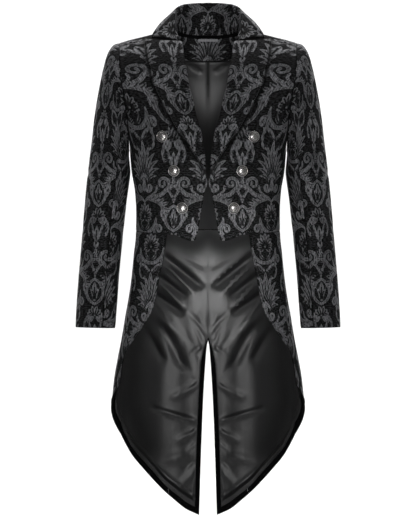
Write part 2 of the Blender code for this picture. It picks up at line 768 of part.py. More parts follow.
BROCADE = cloth_material("damask_brocade", (0.012, 0.012, 0.013), 0.7, 0.2)
SATIN = cloth_material("satin_lining", (0.006, 0.006, 0.007), 0.28)
TAPE = cloth_material("label_tape", (0.02, 0.02, 0.02), 0.6)
PEWTER = metal_material("aged_button_metal", (0.22, 0.21, 0.2), 0.35)

pair("front", stepped_back(on_form(front_panels())), BROCADE, CLOTH)
pair("side", stepped_back(on_form(side_panels()), 1.6 * SEAM), BROCADE, CLOTH)
pair("back", stepped_back(on_form([line[::-1] for line in back_panels()]), 1.4 * SEAM), BROCADE, CLOTH)
pair("skirt", stepped_back(on_form(skirt_panels()), 1.4 * SEAM), BROCADE, CLOTH)
pair("tail_lining", stepped_back(on_form(tail_lining_panels(), tail_lining_height)), SATIN, LINING)
grid_object("back_lining", back_lining_panel(), SATIN, LINING, mirror=True)
grid_object("neck_facing", neck_facing_panel(), BROCADE, FACING, mirror=True)
grid_object("label", label_panel(), TAPE, 1.0, mirror=True)
grid_object("collar", collar_half(), BROCADE, LEAF_WALL, 0.0, mirror=True)
pair("lapel", lapel_panels(), BROCADE, LEAF_WALL, 0.0)
pair("sleeve_top", stepped_back(sleeve_panel(SLEEVE_SEAM, -SLEEVE_SEAM, 12), 2.9 * SEAM), BROCADE, CLOTH)
pair("sleeve_under", stepped_back(sleeve_panel(360 - SLEEVE_SEAM, SLEEVE_SEAM, 7), 2.9 * SEAM), BROCADE, CLOTH)
for number, (button_x, button_height) in enumerate(BUTTONS, 1):
    button(f"button_left_{number}", button_x, button_height, 1, PEWTER)
    button(f"button_right_{number}", button_x, button_height, -1, PEWTER)
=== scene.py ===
# %% [markdown]
# # A gothic tailcoat in black damask brocade
# The coat stands filled out as if worn, with nobody in it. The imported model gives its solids; this script
# gives each panel its fine cloth surface, its woven figure, its creases and its sewing.
# Lengths are millimetres until a mesh is made; the studio at the end is set up in metres. X runs to the
# wearer's left, the coat faces -Y and Z is up.

# %% Load the frame
import math

import bpy
import numpy as np
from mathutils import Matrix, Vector


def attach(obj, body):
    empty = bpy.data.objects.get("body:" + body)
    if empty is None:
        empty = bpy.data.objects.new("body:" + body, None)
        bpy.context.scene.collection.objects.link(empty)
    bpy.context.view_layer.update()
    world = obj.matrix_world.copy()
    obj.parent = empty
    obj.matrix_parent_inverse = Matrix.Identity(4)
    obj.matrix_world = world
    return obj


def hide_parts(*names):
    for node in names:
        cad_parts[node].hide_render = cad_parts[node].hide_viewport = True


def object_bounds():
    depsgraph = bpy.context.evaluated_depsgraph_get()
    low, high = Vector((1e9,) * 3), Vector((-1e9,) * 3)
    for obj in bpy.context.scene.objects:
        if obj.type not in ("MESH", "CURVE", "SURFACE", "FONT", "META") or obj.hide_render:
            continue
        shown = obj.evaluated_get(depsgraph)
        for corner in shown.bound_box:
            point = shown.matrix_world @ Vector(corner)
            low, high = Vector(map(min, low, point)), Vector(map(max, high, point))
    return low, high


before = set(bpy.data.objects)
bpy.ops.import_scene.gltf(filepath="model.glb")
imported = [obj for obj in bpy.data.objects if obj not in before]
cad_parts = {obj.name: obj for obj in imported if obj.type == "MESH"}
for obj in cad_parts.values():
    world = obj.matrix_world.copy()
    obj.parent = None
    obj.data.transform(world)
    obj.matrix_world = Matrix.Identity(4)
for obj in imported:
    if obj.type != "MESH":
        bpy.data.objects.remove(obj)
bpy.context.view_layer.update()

BODY = "root"
MM = 0.001
SIDES = {"left": 1, "right": -1}
print("nodes in the frame:", len(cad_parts))

# %% [markdown]
# ## Small helpers
# Every material below is a tree of nodes. One helper adds a node with its settings and its links, a few
# more add the kinds that come again and again, and one turns a colour as it is named on screen (sRGB hex)
# into the linear values that Blender calculates with.

# %% Colour, node and object helpers
def linear(hex_colour):
    """An sRGB hex colour such as "#1a1a1a" as linear RGBA."""
    channels = [int(hex_colour[place:place + 2], 16) / 255 for place in (1, 3, 5)]
    return (*[c / 12.92 if c <= 0.04045 else ((c + 0.055) / 1.055) ** 2.4 for c in channels], 1.0)


def add_node(tree, kind, settings=None, **links):
    """Adds a node. Settings are its own properties; links go to inputs, by name or by _number."""
    node = tree.nodes.new(kind)
    for name, value in (settings or {}).items():
        setattr(node, name, value)
    for name, value in links.items():
        socket = node.inputs[int(name[1:])] if name[0] == "_" else node.inputs[name.replace("_", " ")]
        if isinstance(value, bpy.types.NodeSocket):
            tree.links.new(value, socket)
        else:
            socket.default_value = value
    return node


def new_material(name):
    """An empty material with a Principled BSDF wired to its output."""
    material = bpy.data.materials.new(name)
    material.use_nodes = True
    return material, material.node_tree, material.node_tree.nodes["Principled BSDF"]


def wire(tree, node, **sockets):
    """Links sockets to the inputs of a node, named with _ for each space."""
    for name, socket in sockets.items():
        tree.links.new(socket, node.inputs[name.replace("_", " ")])


def attribute(tree, name, output="Fac"):
    """What each point of the mesh carries under a name."""
    return add_node(tree, "ShaderNodeAttribute", {"attribute_name": name}).outputs[output]


def calculate(tree, operation, *values, **settings):
    """The result of a Math node on sockets or numbers."""
    links = {f"_{place}": value for place, value in enumerate(values)}
    return add_node(tree, "ShaderNodeMath", {"operation": operation, **settings}, **links).outputs[0]


def cloth_noise(tree, place, scale, detail=2.0, **links):
    """Noise over the flat cloth; its scale is in cells for each metre."""
    return add_node(tree, "ShaderNodeTexNoise", {"noise_dimensions": "2D"}, Vector=place, Scale=scale,
                    Detail=detail, **links).outputs[0]


def streaked(tree, place, across, along):
    """Places on the cloth, scaled apart for noise in streaks: so many a metre across it and along it."""
    return add_node(tree, "ShaderNodeMapping", Vector=place, Scale=(across, along, 1.0)).outputs[0]


def ranged(tree, value, result, source=(0.0, 1.0), smooth=False):
    """A value brought from its source range to a result range, and held at both ends."""
    kind = {"interpolation_type": "SMOOTHSTEP" if smooth else "LINEAR"}
    return add_node(tree, "ShaderNodeMapRange", kind, Value=value, _1=source[0], _2=source[1],
                    _3=result[0], _4=result[1]).outputs[0]


def shades(tree, value, low, high, places=(0.0, 1.0)):
    """A ramp between two colours, given in hex, with the places on it where each is reached."""
    node = add_node(tree, "ShaderNodeValToRGB", Fac=value)
    for element, place, colour in zip(node.color_ramp.elements, places, (low, high)):
        element.position, element.color = place, linear(colour)
    return node.outputs[0]


def scaled(tree, colour, factor):
    """A colour multiplied by a factor."""
    return add_node(tree, "ShaderNodeVectorMath", {"operation": "SCALE"}, Vector=colour,
                    Scale=factor).outputs[0]


def new_object(name, data):
    """An object for a mesh, lamp or camera, linked to the scene."""
    made = bpy.data.objects.new(name, data)
    bpy.context.scene.collection.objects.link(made)
    return made


def set_attribute(mesh, name, values):
    """Gives each point of a mesh a number, or a vector where the values have three columns."""
    kind, key = ("FLOAT_VECTOR", "vector") if values.ndim == 2 else ("FLOAT", "value")
    mesh.attributes.new(name, kind, "POINT").data.foreach_set(key, values.astype(np.float32).ravel())


# %% [markdown]
# ## The body form
# A tailor's pattern is flat, but the worn coat is round. All body panels are patches of one smooth form:
# rings round the chest, waist and skirt, and above the armpit a rounded slope up to the shoulder seam.
# The tables are the same ones that the solids were made from, so the cloth lies exactly on its solid.

# %% Tables read along a smooth curve
class Table:
    """Rows of numbers under named columns, read between its rows along a smooth curve."""

    def __init__(self, columns, rows):
        self.columns = columns.split()
        self.rows = np.array(sorted(rows), dtype=float)
        steps = np.diff(self.rows, axis=0)
        self.slopes = steps[:, 1:] / steps[:, :1]

    def tangent(self, row, column):
        """The curve's slope at a row, which is flat where the table turns back."""
        last = len(self.rows) - 1
        if row == 0 or row == last:
            return self.slopes[min(row, last - 1), column - 1]
        before, after = self.slopes[row - 1, column - 1], self.slopes[row, column - 1]
        if before * after <= 0:
            return 0.0
        return 2 * before * after / (before + after)

    def at(self, place, name):
        """The value of a named column at a place in the first one."""
        column = self.columns.index(name)
        keys = self.rows[:, 0]
        place = min(max(place, keys[0]), keys[-1])
        row = min(int(np.searchsorted(keys, place, side="right")) - 1, len(keys) - 2)
        width = keys[row + 1] - keys[row]
        part = (place - keys[row]) / width
        low, high = self.rows[row, column], self.rows[row + 1, column]
        leave, arrive = self.tangent(row, column) * width, self.tangent(row + 1, column) * width
        return (low * (1 + 2 * part) * (1 - part) ** 2 + leave * part * (1 - part) ** 2
                + high * part ** 2 * (3 - 2 * part) + arrive * part ** 2 * (part - 1))


# %% Driving dimensions and the form's tables
CLOTH, LINING, FACING = 2.0, 1.2, 1.5       # thickness of the brocade wall, the satin and the neck facing
LAYER, FACET = 0.45, 0.9        # air between two layers, and room for the flat faces of the solids
ARMPIT = -245.0                 # height of the bottom of the armhole
SHOULDER_TIP = (195.0, -6.3)    # x and z of the top of the armhole
SHOULDER_Y = 5.0                # the shoulder seam lies this far behind the middle
ROUNDNESS = 2.3                 # exponent of the body's rings: 2 is an ellipse, more is squarer
REACH_FRONT, REACH_BACK = 68.0, 66.0        # half depth of the armhole, to the front and to the back
SIDE_SEAM_TURN = 80.0           # degrees round the body at which the front meets the side body

SHOULDER = Table("x height", [      # the shoulder seam, from the middle of the neck to the tip
    (0, 30), (30, 28.5), (55, 24.5), (76, 20), (95, 17.8), (116, 14), (139, 8.6), (171, 0.8), SHOULDER_TIP,
])
ARMHOLE = Table("height front back", [      # x of the armhole seam, on the chest and on the back
    (-6.3, 195, 195), (-68, 193.5, 195), (-117, 186, 191), (-150, 181, 187), (-180, 177, 182),
    (-220, 173, 175), (ARMPIT, 172, 172),
])
RINGS = Table("height half_width front back middle", [      # rings round body and skirt; middle is their y
    (ARMPIT, 172, 120, 110, 0), (-290, 168, 117, 104, 0), (-335, 160.5, 111, 96, 0),
    (-381, 158, 106, 89, 0), (-425, 158.5, 104, 88, 0), (-473, 163.5, 103, 95, 1),
    (-521, 169, 103, 101, 4), (-568, 175.5, 101, 105, 8), (-605, 182, 98, 105, 12),
    (-660, 191, 93, 101, 18), (-708, 200.5, 90, 98, 22), (-755, 208, 88, 95, 26),
    (-805, 212, 86, 93, 29), (-860, 212.5, 85, 92, 32), (-1060, 213, 84, 94, 34),
])
FLUTES = [      # soft vertical folds of the tails: turn, half width in degrees, depth at the hem
    (172, 7, 7.0), (153, 9, 9.0), (133, 8, -6.0), (112, 10, 6.0), (93, 8, -3.0),
]
FLUTES_START, FLUTES_FULL = -430.0, -960.0


# %% Places on the form
def mix(low, high, share):
    """The value at a share of the way from low to high."""
    return low + (high - low) * share


def level_of(x, height):
    """Level 0 is the shoulder seam, 1 is the armpit, and below it the level goes on with the height."""
    if height <= ARMPIT:
        return height / ARMPIT
    share = (height - ARMPIT) / (SHOULDER.at(x, "height") - ARMPIT)
    return math.degrees(math.acos(min(share, 1.0))) / 90


def height_at(x, level):
    """The height of a level, which above the armpit depends on the shoulder over that x."""
    if level >= 1:
        return level * ARMPIT
    return ARMPIT + (SHOULDER.at(x, "height") - ARMPIT) * math.cos(math.radians(90 * level))


def armhole_turn(level, back):
    """How far round the body, in degrees, the armhole lies at a level; below the armpit it is the side."""
    if level >= 1:
        return 90.0
    lean = math.cos(math.radians(90 * level))
    depth = RINGS.at(ARMPIT, "back" if back else "front")
    reach = (REACH_BACK if back else REACH_FRONT) / depth * math.sqrt(8 * lean / 3)
    turn = math.degrees(math.acos(min(reach, 1.0) ** (ROUNDNESS / 2)))
    return 180 - turn if back else turn


def ring(level, back):
    """Half width, depth, middle y and the width's share of a whole ring, at a level."""
    side = "back" if back else "front"
    if level >= 1:
        height = level * ARMPIT
        return RINGS.at(height, "half_width"), RINGS.at(height, side), RINGS.at(height, "middle"), 1.0
    lean = math.cos(math.radians(90 * level))
    seam_height = ARMPIT + (SHOULDER_TIP[1] - ARMPIT) * lean
    turn = math.radians(armhole_turn(level, back))
    share = abs(math.sin(turn)) ** (2 / ROUNDNESS)
    depth = RINGS.at(ARMPIT, side) * math.sin(math.radians(90 * level))
    return ARMHOLE.at(seam_height, side), depth, SHOULDER_Y * lean, share


def form(turn, level):
    """A point of the coat's outer face. Turn 0 is the centre front, 90 the side, 180 the centre back."""
    back = turn > 90
    width, depth, middle, share = ring(level, back)
    angle = math.radians(turn)
    x = width / share * abs(math.sin(angle)) ** (2 / ROUNDNESS)
    y = middle - math.copysign(depth * abs(math.cos(angle)) ** (2 / ROUNDNESS), math.cos(angle))
    height = height_at(x, level)
    fullness = min(max((height - FLUTES_START) / (FLUTES_FULL - FLUTES_START), 0.0), 1.2)
    bulge = fullness * sum(depth_at_hem * math.exp(-((turn - middle_turn) / half) ** 2)
                           for middle_turn, half, depth_at_hem in FLUTES)
    return Vector((x, y - bulge * math.cos(angle), height))


def turn_at(x, level, back=False):
    """The turn of the form's point at a distance x from the middle, on the chest or on the back."""
    width, _, _, share = ring(level, back)
    ratio = min(max(x * share / width, 0.0), 1.0)
    turn = math.degrees(math.asin(ratio ** (ROUNDNESS / 2)))
    return 180 - turn if back else turn


def place_at(x, height, back=False):
    """Turn and level of the form's point at a distance x from the middle and a height."""
    level = level_of(x, height)
    return turn_at(x, level, back), level


def outward(turn, level):
    """The unit normal of the form, pointing out of the coat."""
    step_turn, step_level, nearest = 0.4, 0.004, 0.05
    low_turn, low_level = max(turn - step_turn, nearest), max(level - step_level, 0.0)
    high_turn = min(turn + step_turn, 180 - nearest)
    around = form(high_turn, level) - form(low_turn, level)
    down = form(turn, level + step_level) - form(turn, low_level)
    return around.cross(down).normalized() * -1


def raised(turn, level, height):
    """A point above the form's outer face, or inside it where the height is negative."""
    return form(turn, level) + outward(turn, level) * height


# %% [markdown]
# ## Seam lines
# Where the tailor's seams run on the form: neckline, roll line and open edge of the front, the armhole, the
# seam under the arm, the curved seam of the back, the waist seam and the cut-away edge of the tails.

# %% Seam tables of the left half
NECK_BACK = Table("x height", [(0, 9), (25, 9.6), (45, 11.5), (60, 14.5), (70, 17.8), (76, 20)])
FRONT_EDGE = Table("height x", [        # roll line of the lapel, the closure, and the cut-away edge
    (-5, 60.5), (-29, 57), (-62, 52), (-97, 46.5), (-130, 38), (-167, 29), (-202, 19.5), (-238, 13.5),
    (-268, 9), (-296, 5), (-315, 0.5), (-337, 8), (-359, 11), (-381, 15.4), (-403, 19), (-425, 23),
    (-436, 27.5), (-441, 33),
])
FRONT_HEM = Table("x height", [(24, -436), (33, -442), (47, -439.5), (58, -435), (71, -430), (90, -427)])
TAIL_EDGE = Table("height x", [         # the skirt's free front edge, from the waist round to the side
    (-427, 90), (-453, 93.5), (-482, 98), (-524, 107), (-565, 114), (-590, 120), (-607, 129),
    (-629, 143), (-653, 158), (-673, 174), (-691, 184), (-722, 190), (-750, 193), (-783, 196), (-816, 204),
])
TAIL_HEM = Table("x height", [          # and on along the hem to the tip beside the vent
    (19, -1051), (48, -1038), (76, -1015.5), (101, -993.5), (123, -970.5), (146, -944), (167, -918),
    (182, -892.5), (196, -863), (204, -837), (208, -821),
])
WAIST_SEAM = Table("turn height", [(30, -427), (90, -420), (180, -418)])
SIDE_BACK_SEAM = Table("height x", [    # from the back of the armhole in to the waist and down the tail
    (-150, 187), (-180, 166), (-215, 142), (-250, 122), (-300, 99), (-350, 82), (-420, 70),
    (-560, 75), (-800, 84), (-1020, 88),
])
SEAM_START = (187, -150)        # x and height where that seam leaves the armhole
HEM_CORNER = 206.0      # x where the free front edge turns into the hem
SEAM_FOOT = 87.5        # x where the side back seam meets the hem
VENT = Table("height x", [(-660, 0), (-675, 2.5), (-748, 8), (-815, 11.5), (-945, 16.3), (-1055, 19.5)])
WAIST_TOP = -427.0      # height at which the free front edge leaves the waist seam
WAIST_LEVEL = level_of(0, -420)
SETTLING = 6            # rounds after which a height that depends on its own x has settled


# %% Seam lines as places on the form
def height_on_edge(level):
    """The height of the front edge at a level."""
    height = FRONT_EDGE.rows[-1, 0]
    for _ in range(SETTLING):
        height = height_at(FRONT_EDGE.at(height, "x"), level)
    return height


def front_edge(level):
    """The front's inner edge: neckline from the shoulder seam, then roll line, then open edge."""
    neck_x, roll_x, roll_height = 76, 60.5, -5
    neck_end = level_of(roll_x, roll_height)
    if level < neck_end:
        x = mix(neck_x, roll_x, (level / neck_end) ** 2)
    else:
        x = FRONT_EDGE.at(height_on_edge(level), "x")
    return turn_at(x, level)


def side_seam(level):
    """The front's outer edge: the armhole, then the seam under the arm."""
    if level < 1:
        return min(armhole_turn(level, False), SIDE_SEAM_TURN)
    return SIDE_SEAM_TURN


def back_seam(level):
    """The back's outer edge: the armhole, then the curved seam down to the waist and the tail."""
    if level < level_of(*SEAM_START):
        return armhole_turn(level, True)
    height = level * ARMPIT
    for _ in range(SETTLING):
        x = SIDE_BACK_SEAM.at(height, "x")
        height = height_at(x, level)
    return max(turn_at(x, level, True), armhole_turn(level, True))


def vent_edge(level):
    """The centre back, and below the vent's top the edge of the tail."""
    return turn_at(VENT.at(level * ARMPIT, "x"), level, True)


def on_waist(turn):
    """A place on the waist seam, as turn and level."""
    return turn, WAIST_SEAM.at(turn, "height") / ARMPIT


def hem_point(share, start_x, end_x):
    """A place on the hem between two distances from the centre back, as turn and level."""
    x = mix(start_x, end_x, share)
    return place_at(x, TAIL_HEM.at(x, "height"), True)


def turned_in(share):
    """How far the free edge has swung towards the corner of the hem, over the last fifth of its way."""
    late = max((share - 0.8) / 0.2, 0.0)
    return late * late * (3 - 2 * late)


def free_edge(share):
    """The skirt's front edge, down from the waist seam and round the side to the start of the hem."""
    corner_turn, corner_level = hem_point(1, 22, HEM_CORNER)
    level = mix(WAIST_TOP / ARMPIT, corner_level, share)
    edge = turn_at(TAIL_EDGE.at(level * ARMPIT, "x"), level)
    return mix(edge, corner_turn, turned_in(share)), level


def fine_at_ends(share, bend=0.55):
    """Moves a share from 0 to 1 so that steps are small at both ends, where panels meet at seams."""
    return mix(share, (1 - math.cos(math.pi * share)) / 2, bend)


def patch(top, bottom, start, end, columns, rows, crowd=1.0, fine=0.55):
    """Places (turn, level) filled in between four edges, as rows from top to bottom. Crowd above 1 sets
    the rows closer at the top; fine sets rows and columns closer at all four edges."""
    corners = [np.array(edge(share)) for edge, share in ((top, 0), (top, 1), (bottom, 0), (bottom, 1))]
    grid = []
    for row in range(rows + 1):
        down = fine_at_ends(row / rows, 0.35 * fine) ** crowd
        line = []
        for column in range(columns + 1):
            across = fine_at_ends(column / columns, fine)
            place = (mix(np.array(top(across)), np.array(bottom(across)), down)
                     + mix(np.array(start(down)), np.array(end(down)), across)
                     - mix(mix(corners[0], corners[1], across), mix(corners[2], corners[3], across), down))
            line.append((float(place[0]), float(max(place[1], 0.0))))
        grid.append(line)
    return np.array(grid)


# %% [markdown]
# ## From guide points to fine cloth
# A few hundred guide points fix the shape of each panel. A Catmull-Rom curve through them, along the rows
# and then down the columns, gives the fine grid that carries the figure of the brocade and the creases.

# %% Fine grids
THREAD_GRID = 2.5       # mm between a brocade panel's points, which carry the distance to the figure's edge
SATIN_GRID = 3.0        # satin has no figure, only folds
FOLD_GRID = 2.8         # and where it is draped the folds are narrower
INNER_STEP = 4          # the inside of a wall needs only every fourth point


def smooth_through(points, count):
    """Values along axis 0 of an array, resampled to a count on a Catmull-Rom curve through them."""
    last = len(points) - 1
    place = np.linspace(0, last, count)
    low = np.minimum(place.astype(int), last - 1)
    part = (place - low).reshape((-1,) + (1,) * (points.ndim - 1))
    padded = np.concatenate([[2 * points[0] - points[1]], points, [2 * points[-1] - points[-2]]])
    before, start, end, after = (padded[low + shift] for shift in range(4))
    return 0.5 * (2 * start + (end - before) * part
                  + (2 * before - 5 * start + 4 * end - after) * part ** 2
                  + (3 * (start - end) + after - before) * part ** 3)


def count_for(points, axis, spacing):
    """How many points fit along an axis of a grid at that spacing, one more than a multiple of the step."""
    lengths = np.linalg.norm(np.diff(points[..., :3], axis=axis), axis=-1).sum(axis=axis)
    steps = int(math.ceil(lengths.max() / spacing / INNER_STEP))
    return steps * INNER_STEP + 1


def fine_grid(guides, spacing):
    """A guide grid (rows, columns, values) at an even fine spacing. The first three values are x, y and z."""
    rows, columns = (count_for(guides, axis, spacing) for axis in (0, 1))
    across = smooth_through(guides.swapaxes(0, 1), columns).swapaxes(0, 1)
    return smooth_through(across, rows)


def normals_of(points):
    """Unit normals of a grid, on the side that its columns and rows face."""
    down, across = np.gradient(points, axis=0), np.gradient(points, axis=1)
    normal = np.cross(down, across)
    return normal / np.maximum(np.linalg.norm(normal, axis=-1, keepdims=True), 1e-9)


def distance_to_rim(points):
    """For each point of a grid, how far it lies from the nearer end of its column and of its row, in mm."""
    def along(axis):
        steps = np.linalg.norm(np.diff(points, axis=axis), axis=-1)
        start = np.concatenate([np.zeros_like(np.take(steps, [0], axis)), np.cumsum(steps, axis)], axis)
        return np.minimum(start, np.take(start, [-1], axis) - start)
    return along(0), along(1)


def off_rim(points, width):
    """0 on the rim of a grid, rising to 1 at a width in from it."""
    return np.clip(np.minimum(*distance_to_rim(points)) / width, 0, 1)


print("fine grids ready: brocade at", THREAD_GRID, "mm, satin at", SATIN_GRID, "mm")

# %% [markdown]
# ## The damask figure
# Damask is woven in one colour: the figure is satin, which lies smooth and catches the light, and the ground
# is a crinkled matt weave. The repeat is a palmette, scrolls, fronds and a medallion, drawn here from
# strokes and mirrored left and right, as such cloth has been for centuries. It is kept as a distance in mm
# to the figure's edge, so that the edge stays crisp on the mesh.

# %% Strokes of the repeat
HALF_WIDTH, REPEAT = 76, 216        # mm: half of the repeat's width, and its height
BEAD = 0.7                          # mm between the round beads that make up a stroke


def curve_through(points):
    """A smooth line of x, y and radius through a stroke's few points."""
    points = np.array(points, dtype=float)
    length = np.linalg.norm(np.diff(points[:, :2], axis=0), axis=1).sum()
    return smooth_through(points, max(int(length / BEAD), 4))


def scroll(x, y, radius, start, turns, width, bulb=1.5):
    """A C-scroll: a spiral that winds in from a radius and ends in a bulb."""
    count = int(abs(turns) * 2 * math.pi * radius * 0.62 / BEAD)
    share = np.linspace(0, 1, count)
    angle = math.radians(start) + turns * 2 * math.pi * share
    reach = radius * (1 - 0.80 * share ** 0.85)
    thick = width * (1 - 0.45 * share) + (bulb - 1) * width * np.exp(-((1 - share) / 0.06) ** 2)
    return np.stack([x + reach * np.cos(angle), y + reach * np.sin(angle), thick], axis=1)


def leaf(x, y, tip_x, tip_y, width, bend):
    """A leaf from its foot to its tip, bent to one side."""
    foot, tip = np.array([x, y], float), np.array([tip_x, tip_y], float)
    run = tip - foot
    side = np.array([-run[1], run[0]]) * bend
    share = np.linspace(0, 1, max(int(np.linalg.norm(run) * 1.1 / BEAD), 5))[:, None]
    line = foot + run * share + side * np.sin(math.pi * share) * 0.5
    body = width * np.sin(math.pi * np.clip(share, 0.03, 1) ** 0.8) ** 0.75
    return np.hstack([line, np.maximum(body, 0.3)])


def vein(leaf_beads, first=0.12, last=0.72, width=1.0):
    """The dark line down the middle of a leaf."""
    count = len(leaf_beads)
    beads = leaf_beads[int(first * count):int(last * count)].copy()
    beads[:, 2] = width
    return beads


def frond(points, width, lobes, side, size):
    """An acanthus frond: a stem, and lobes with veins that grow from one side and lean towards its tip."""
    stem = curve_through([(x, y, width) for x, y in points])
    parts, veins = [stem], []
    for lobe in range(lobes):
        share = (lobe + 0.6) / lobes
        place = int(share * (len(stem) - 2))
        ahead = stem[place + 1, :2] - stem[place, :2]
        ahead /= np.linalg.norm(ahead) + 1e-9
        out = np.array([-ahead[1], ahead[0]]) * side
        length = size * (0.75 + 0.5 * math.sin(math.pi * share))
        tip = stem[place, :2] + (out * 0.85 + ahead * 0.75) * length
        blade = leaf(*stem[place, :2], *tip, size * 0.27, -0.25 * side)
        parts.append(blade)
        veins.append(vein(blade, 0.3, 0.85, 0.75))
    return parts, veins


# %% Draw the repeat
def draw_repeat():
    """All strokes of half a repeat: x from its middle line, y downwards. Returns beads and dark veins."""
    beads, veins = [], []

    def add_stroke(*points):
        beads.append(curve_through(points))

    def add_scroll(*measures):
        beads.append(scroll(*measures))

    def add_leaf(*measures):
        blade = leaf(*measures)
        beads.append(blade)
        veins.append(vein(blade))

    def add_frond(*measures):
        parts, dark = frond(*measures)
        beads.extend(parts)
        veins.extend(dark)

    def add_fan(x, y, turn, spread, count, length, width):
        """Leaves side by side from one foot: turn is where the fan points, 90 being up."""
        for place in range(count):
            aside = place / (count - 1) - 0.5
            angle = math.radians(turn + spread * aside)
            reach = length * (1 - 0.25 * abs(aside) * 2)
            add_leaf(x + 3 * math.cos(angle), y - 3 * math.sin(angle),
                     x + reach * math.cos(angle), y - reach * math.sin(angle), width, 0.22 * aside)

    # Palmette on the middle line, with curls at its foot
    add_leaf(0, 84, 0, 10, 9.0, 0.0)
    for measures in ((4, 86, 18, 18, 6.8, -0.14), (7, 88, 32, 31, 6.6, -0.22), (9, 90, 42, 48, 6.2, -0.30),
                     (10, 93, 45, 67, 5.4, -0.38), (10, 97, 38, 84, 4.4, -0.42)):
        add_leaf(*measures)
    add_scroll(15, 108, 12.0, 200, -1.2, 3.6)
    add_stroke((0, 92, 5.0), (0, 102, 4.4), (0, 116, 2.2))

    # Great scroll with acanthus on its back and in its crook
    add_stroke((2, 138, 2.6), (14, 130, 4.0), (30, 128, 4.8), (47, 124, 5.2), (61, 112, 4.8))
    add_scroll(51, 100, 16.5, 50, -1.25, 4.4, 1.3)
    add_frond([(12, 133), (30, 138), (46, 147), (54, 164)], 3.8, 6, -1, 17.0)
    add_frond([(64, 116), (73, 104), (76, 88), (72, 70)], 3.4, 5, 1, 11.0)
    add_frond([(22, 126), (34, 116), (36, 106)], 3.0, 3, 1, 8.0)
    add_frond([(66, 118), (72, 128), (76, 140)], 3.2, 3, -1, 9.5)

    # Flower on the middle line below the scroll, in a cup of two curls
    add_fan(0, 170, 90, 160, 7, 31, 5.4)
    add_fan(0, 174, 0, 70, 4, 25, 4.6)
    veins.append(scroll(0, 170, 8.0, 0, 1.0, 1.0, 1.0))
    beads.append(np.array([(0, 170, 6.2)]))
    add_stroke((0, 208, 3.4), (12, 206, 4.4), (24, 198, 4.6), (32, 186, 4.0), (33, 175, 2.4))
    add_scroll(40, 200, 12.5, 150, 1.15, 3.8)
    add_leaf(3, 200, 14, 184, 4.2, 0.3)
    add_frond([(34, 210), (18, 213), (4, 224)], 3.0, 4, -1, 10.0)
    add_frond([(30, 212), (34, 224), (28, 238), (14, 242)], 3.0, 4, 1, 9.0)

    # Medallion on the outer line: an ogee frame round a bud, with leaves outside it
    add_stroke((76, 148, 2.8), (66, 156, 3.6), (58, 168, 4.2), (57, 182, 4.2), (64, 195, 3.6),
               (76, 204, 2.8))
    add_leaf(76, 196, 76, 154, 7.4, 0.0)
    add_leaf(73, 194, 65, 169, 4.6, 0.3)
    add_frond([(53, 180), (47, 168), (48, 156)], 3.0, 3, -1, 8.5)
    add_fan(76, 232, 90, 130, 6, 27, 5.0)
    add_scroll(62, 234, 10.5, 300, 1.2, 3.4)
    add_frond([(54, 238), (50, 252), (55, 268)], 3.2, 4, -1, 11.0)
    add_frond([(60, 240), (66, 256), (70, 274)], 3.0, 4, 1, 8.0)
    add_leaf(76, 284, 76, 246, 6.2, 0.0)
    return np.vstack(beads), np.vstack(veins)


def deepest(marks):
    """How deep each point of the repeat's 1 mm grid lies inside the nearest bead; outside it is negative."""
    reach = 9
    depth = np.full((REPEAT, HALF_WIDTH + 1), -float(reach))
    for mark_x, mark_y, radius in marks:
        for x in (mark_x, -mark_x, 2 * HALF_WIDTH - mark_x):
            columns = np.arange(max(int(x - radius) - reach, 0), min(int(x + radius) + reach, HALF_WIDTH) + 1)
            if len(columns) == 0:
                continue
            rows = np.arange(int(mark_y - radius) - reach, int(mark_y + radius) + reach + 1)
            away = np.hypot(columns[None, :] - x, rows[:, None] - mark_y)
            window = np.ix_(rows % REPEAT, columns)
            depth[window] = np.maximum(depth[window], radius - away)
    return depth


STROKES, VEINS = draw_repeat()
FIGURE = np.minimum(deepest(STROKES), -deepest(VEINS))
print("the figure covers", round(float((FIGURE > 0).mean()), 2), "of the repeat")


def figure_at(across, down):
    """The distance to the figure's edge at places on the cloth, in mm across its repeat and down it."""
    x = np.abs((across + HALF_WIDTH) % (2 * HALF_WIDTH) - HALF_WIDTH)
    y = down % REPEAT
    column, row = np.minimum(x.astype(int), HALF_WIDTH - 1), y.astype(int)
    part_x, part_y = x - column, y - row
    below = (row + 1) % REPEAT
    return mix(mix(FIGURE[row, column], FIGURE[row, column + 1], part_x),
               mix(FIGURE[below, column], FIGURE[below, column + 1], part_x), part_y)


# %% [markdown]
# ## Materials
# Brocade is a jacquard weave of black polyester and viscose. The satin figure reflects softly along its
# threads; the ground is crinkled by a shrinking yarn and stays matt. Lining is plain satin, which is
# smoother and glossier than either. Each cloth is a little darker along its seams, and shade is painted on
# it along the edges of lapel and collar, under the lapel's edge, behind the front's hem, at the sides of the
# tails and in the back lining: one attribute, from 0 to 1, carries both. The metal buttons are cast,
# blackened and rubbed bright on top.

# %% Damask brocade
WANDER = 0.8            # mm that the yarn strays to either side of the figure's edge
INNER_LINE = 2.5        # mm in from that edge, where a second, finer line runs
RELIEF = 0.0008         # metres that the ground is bunched up


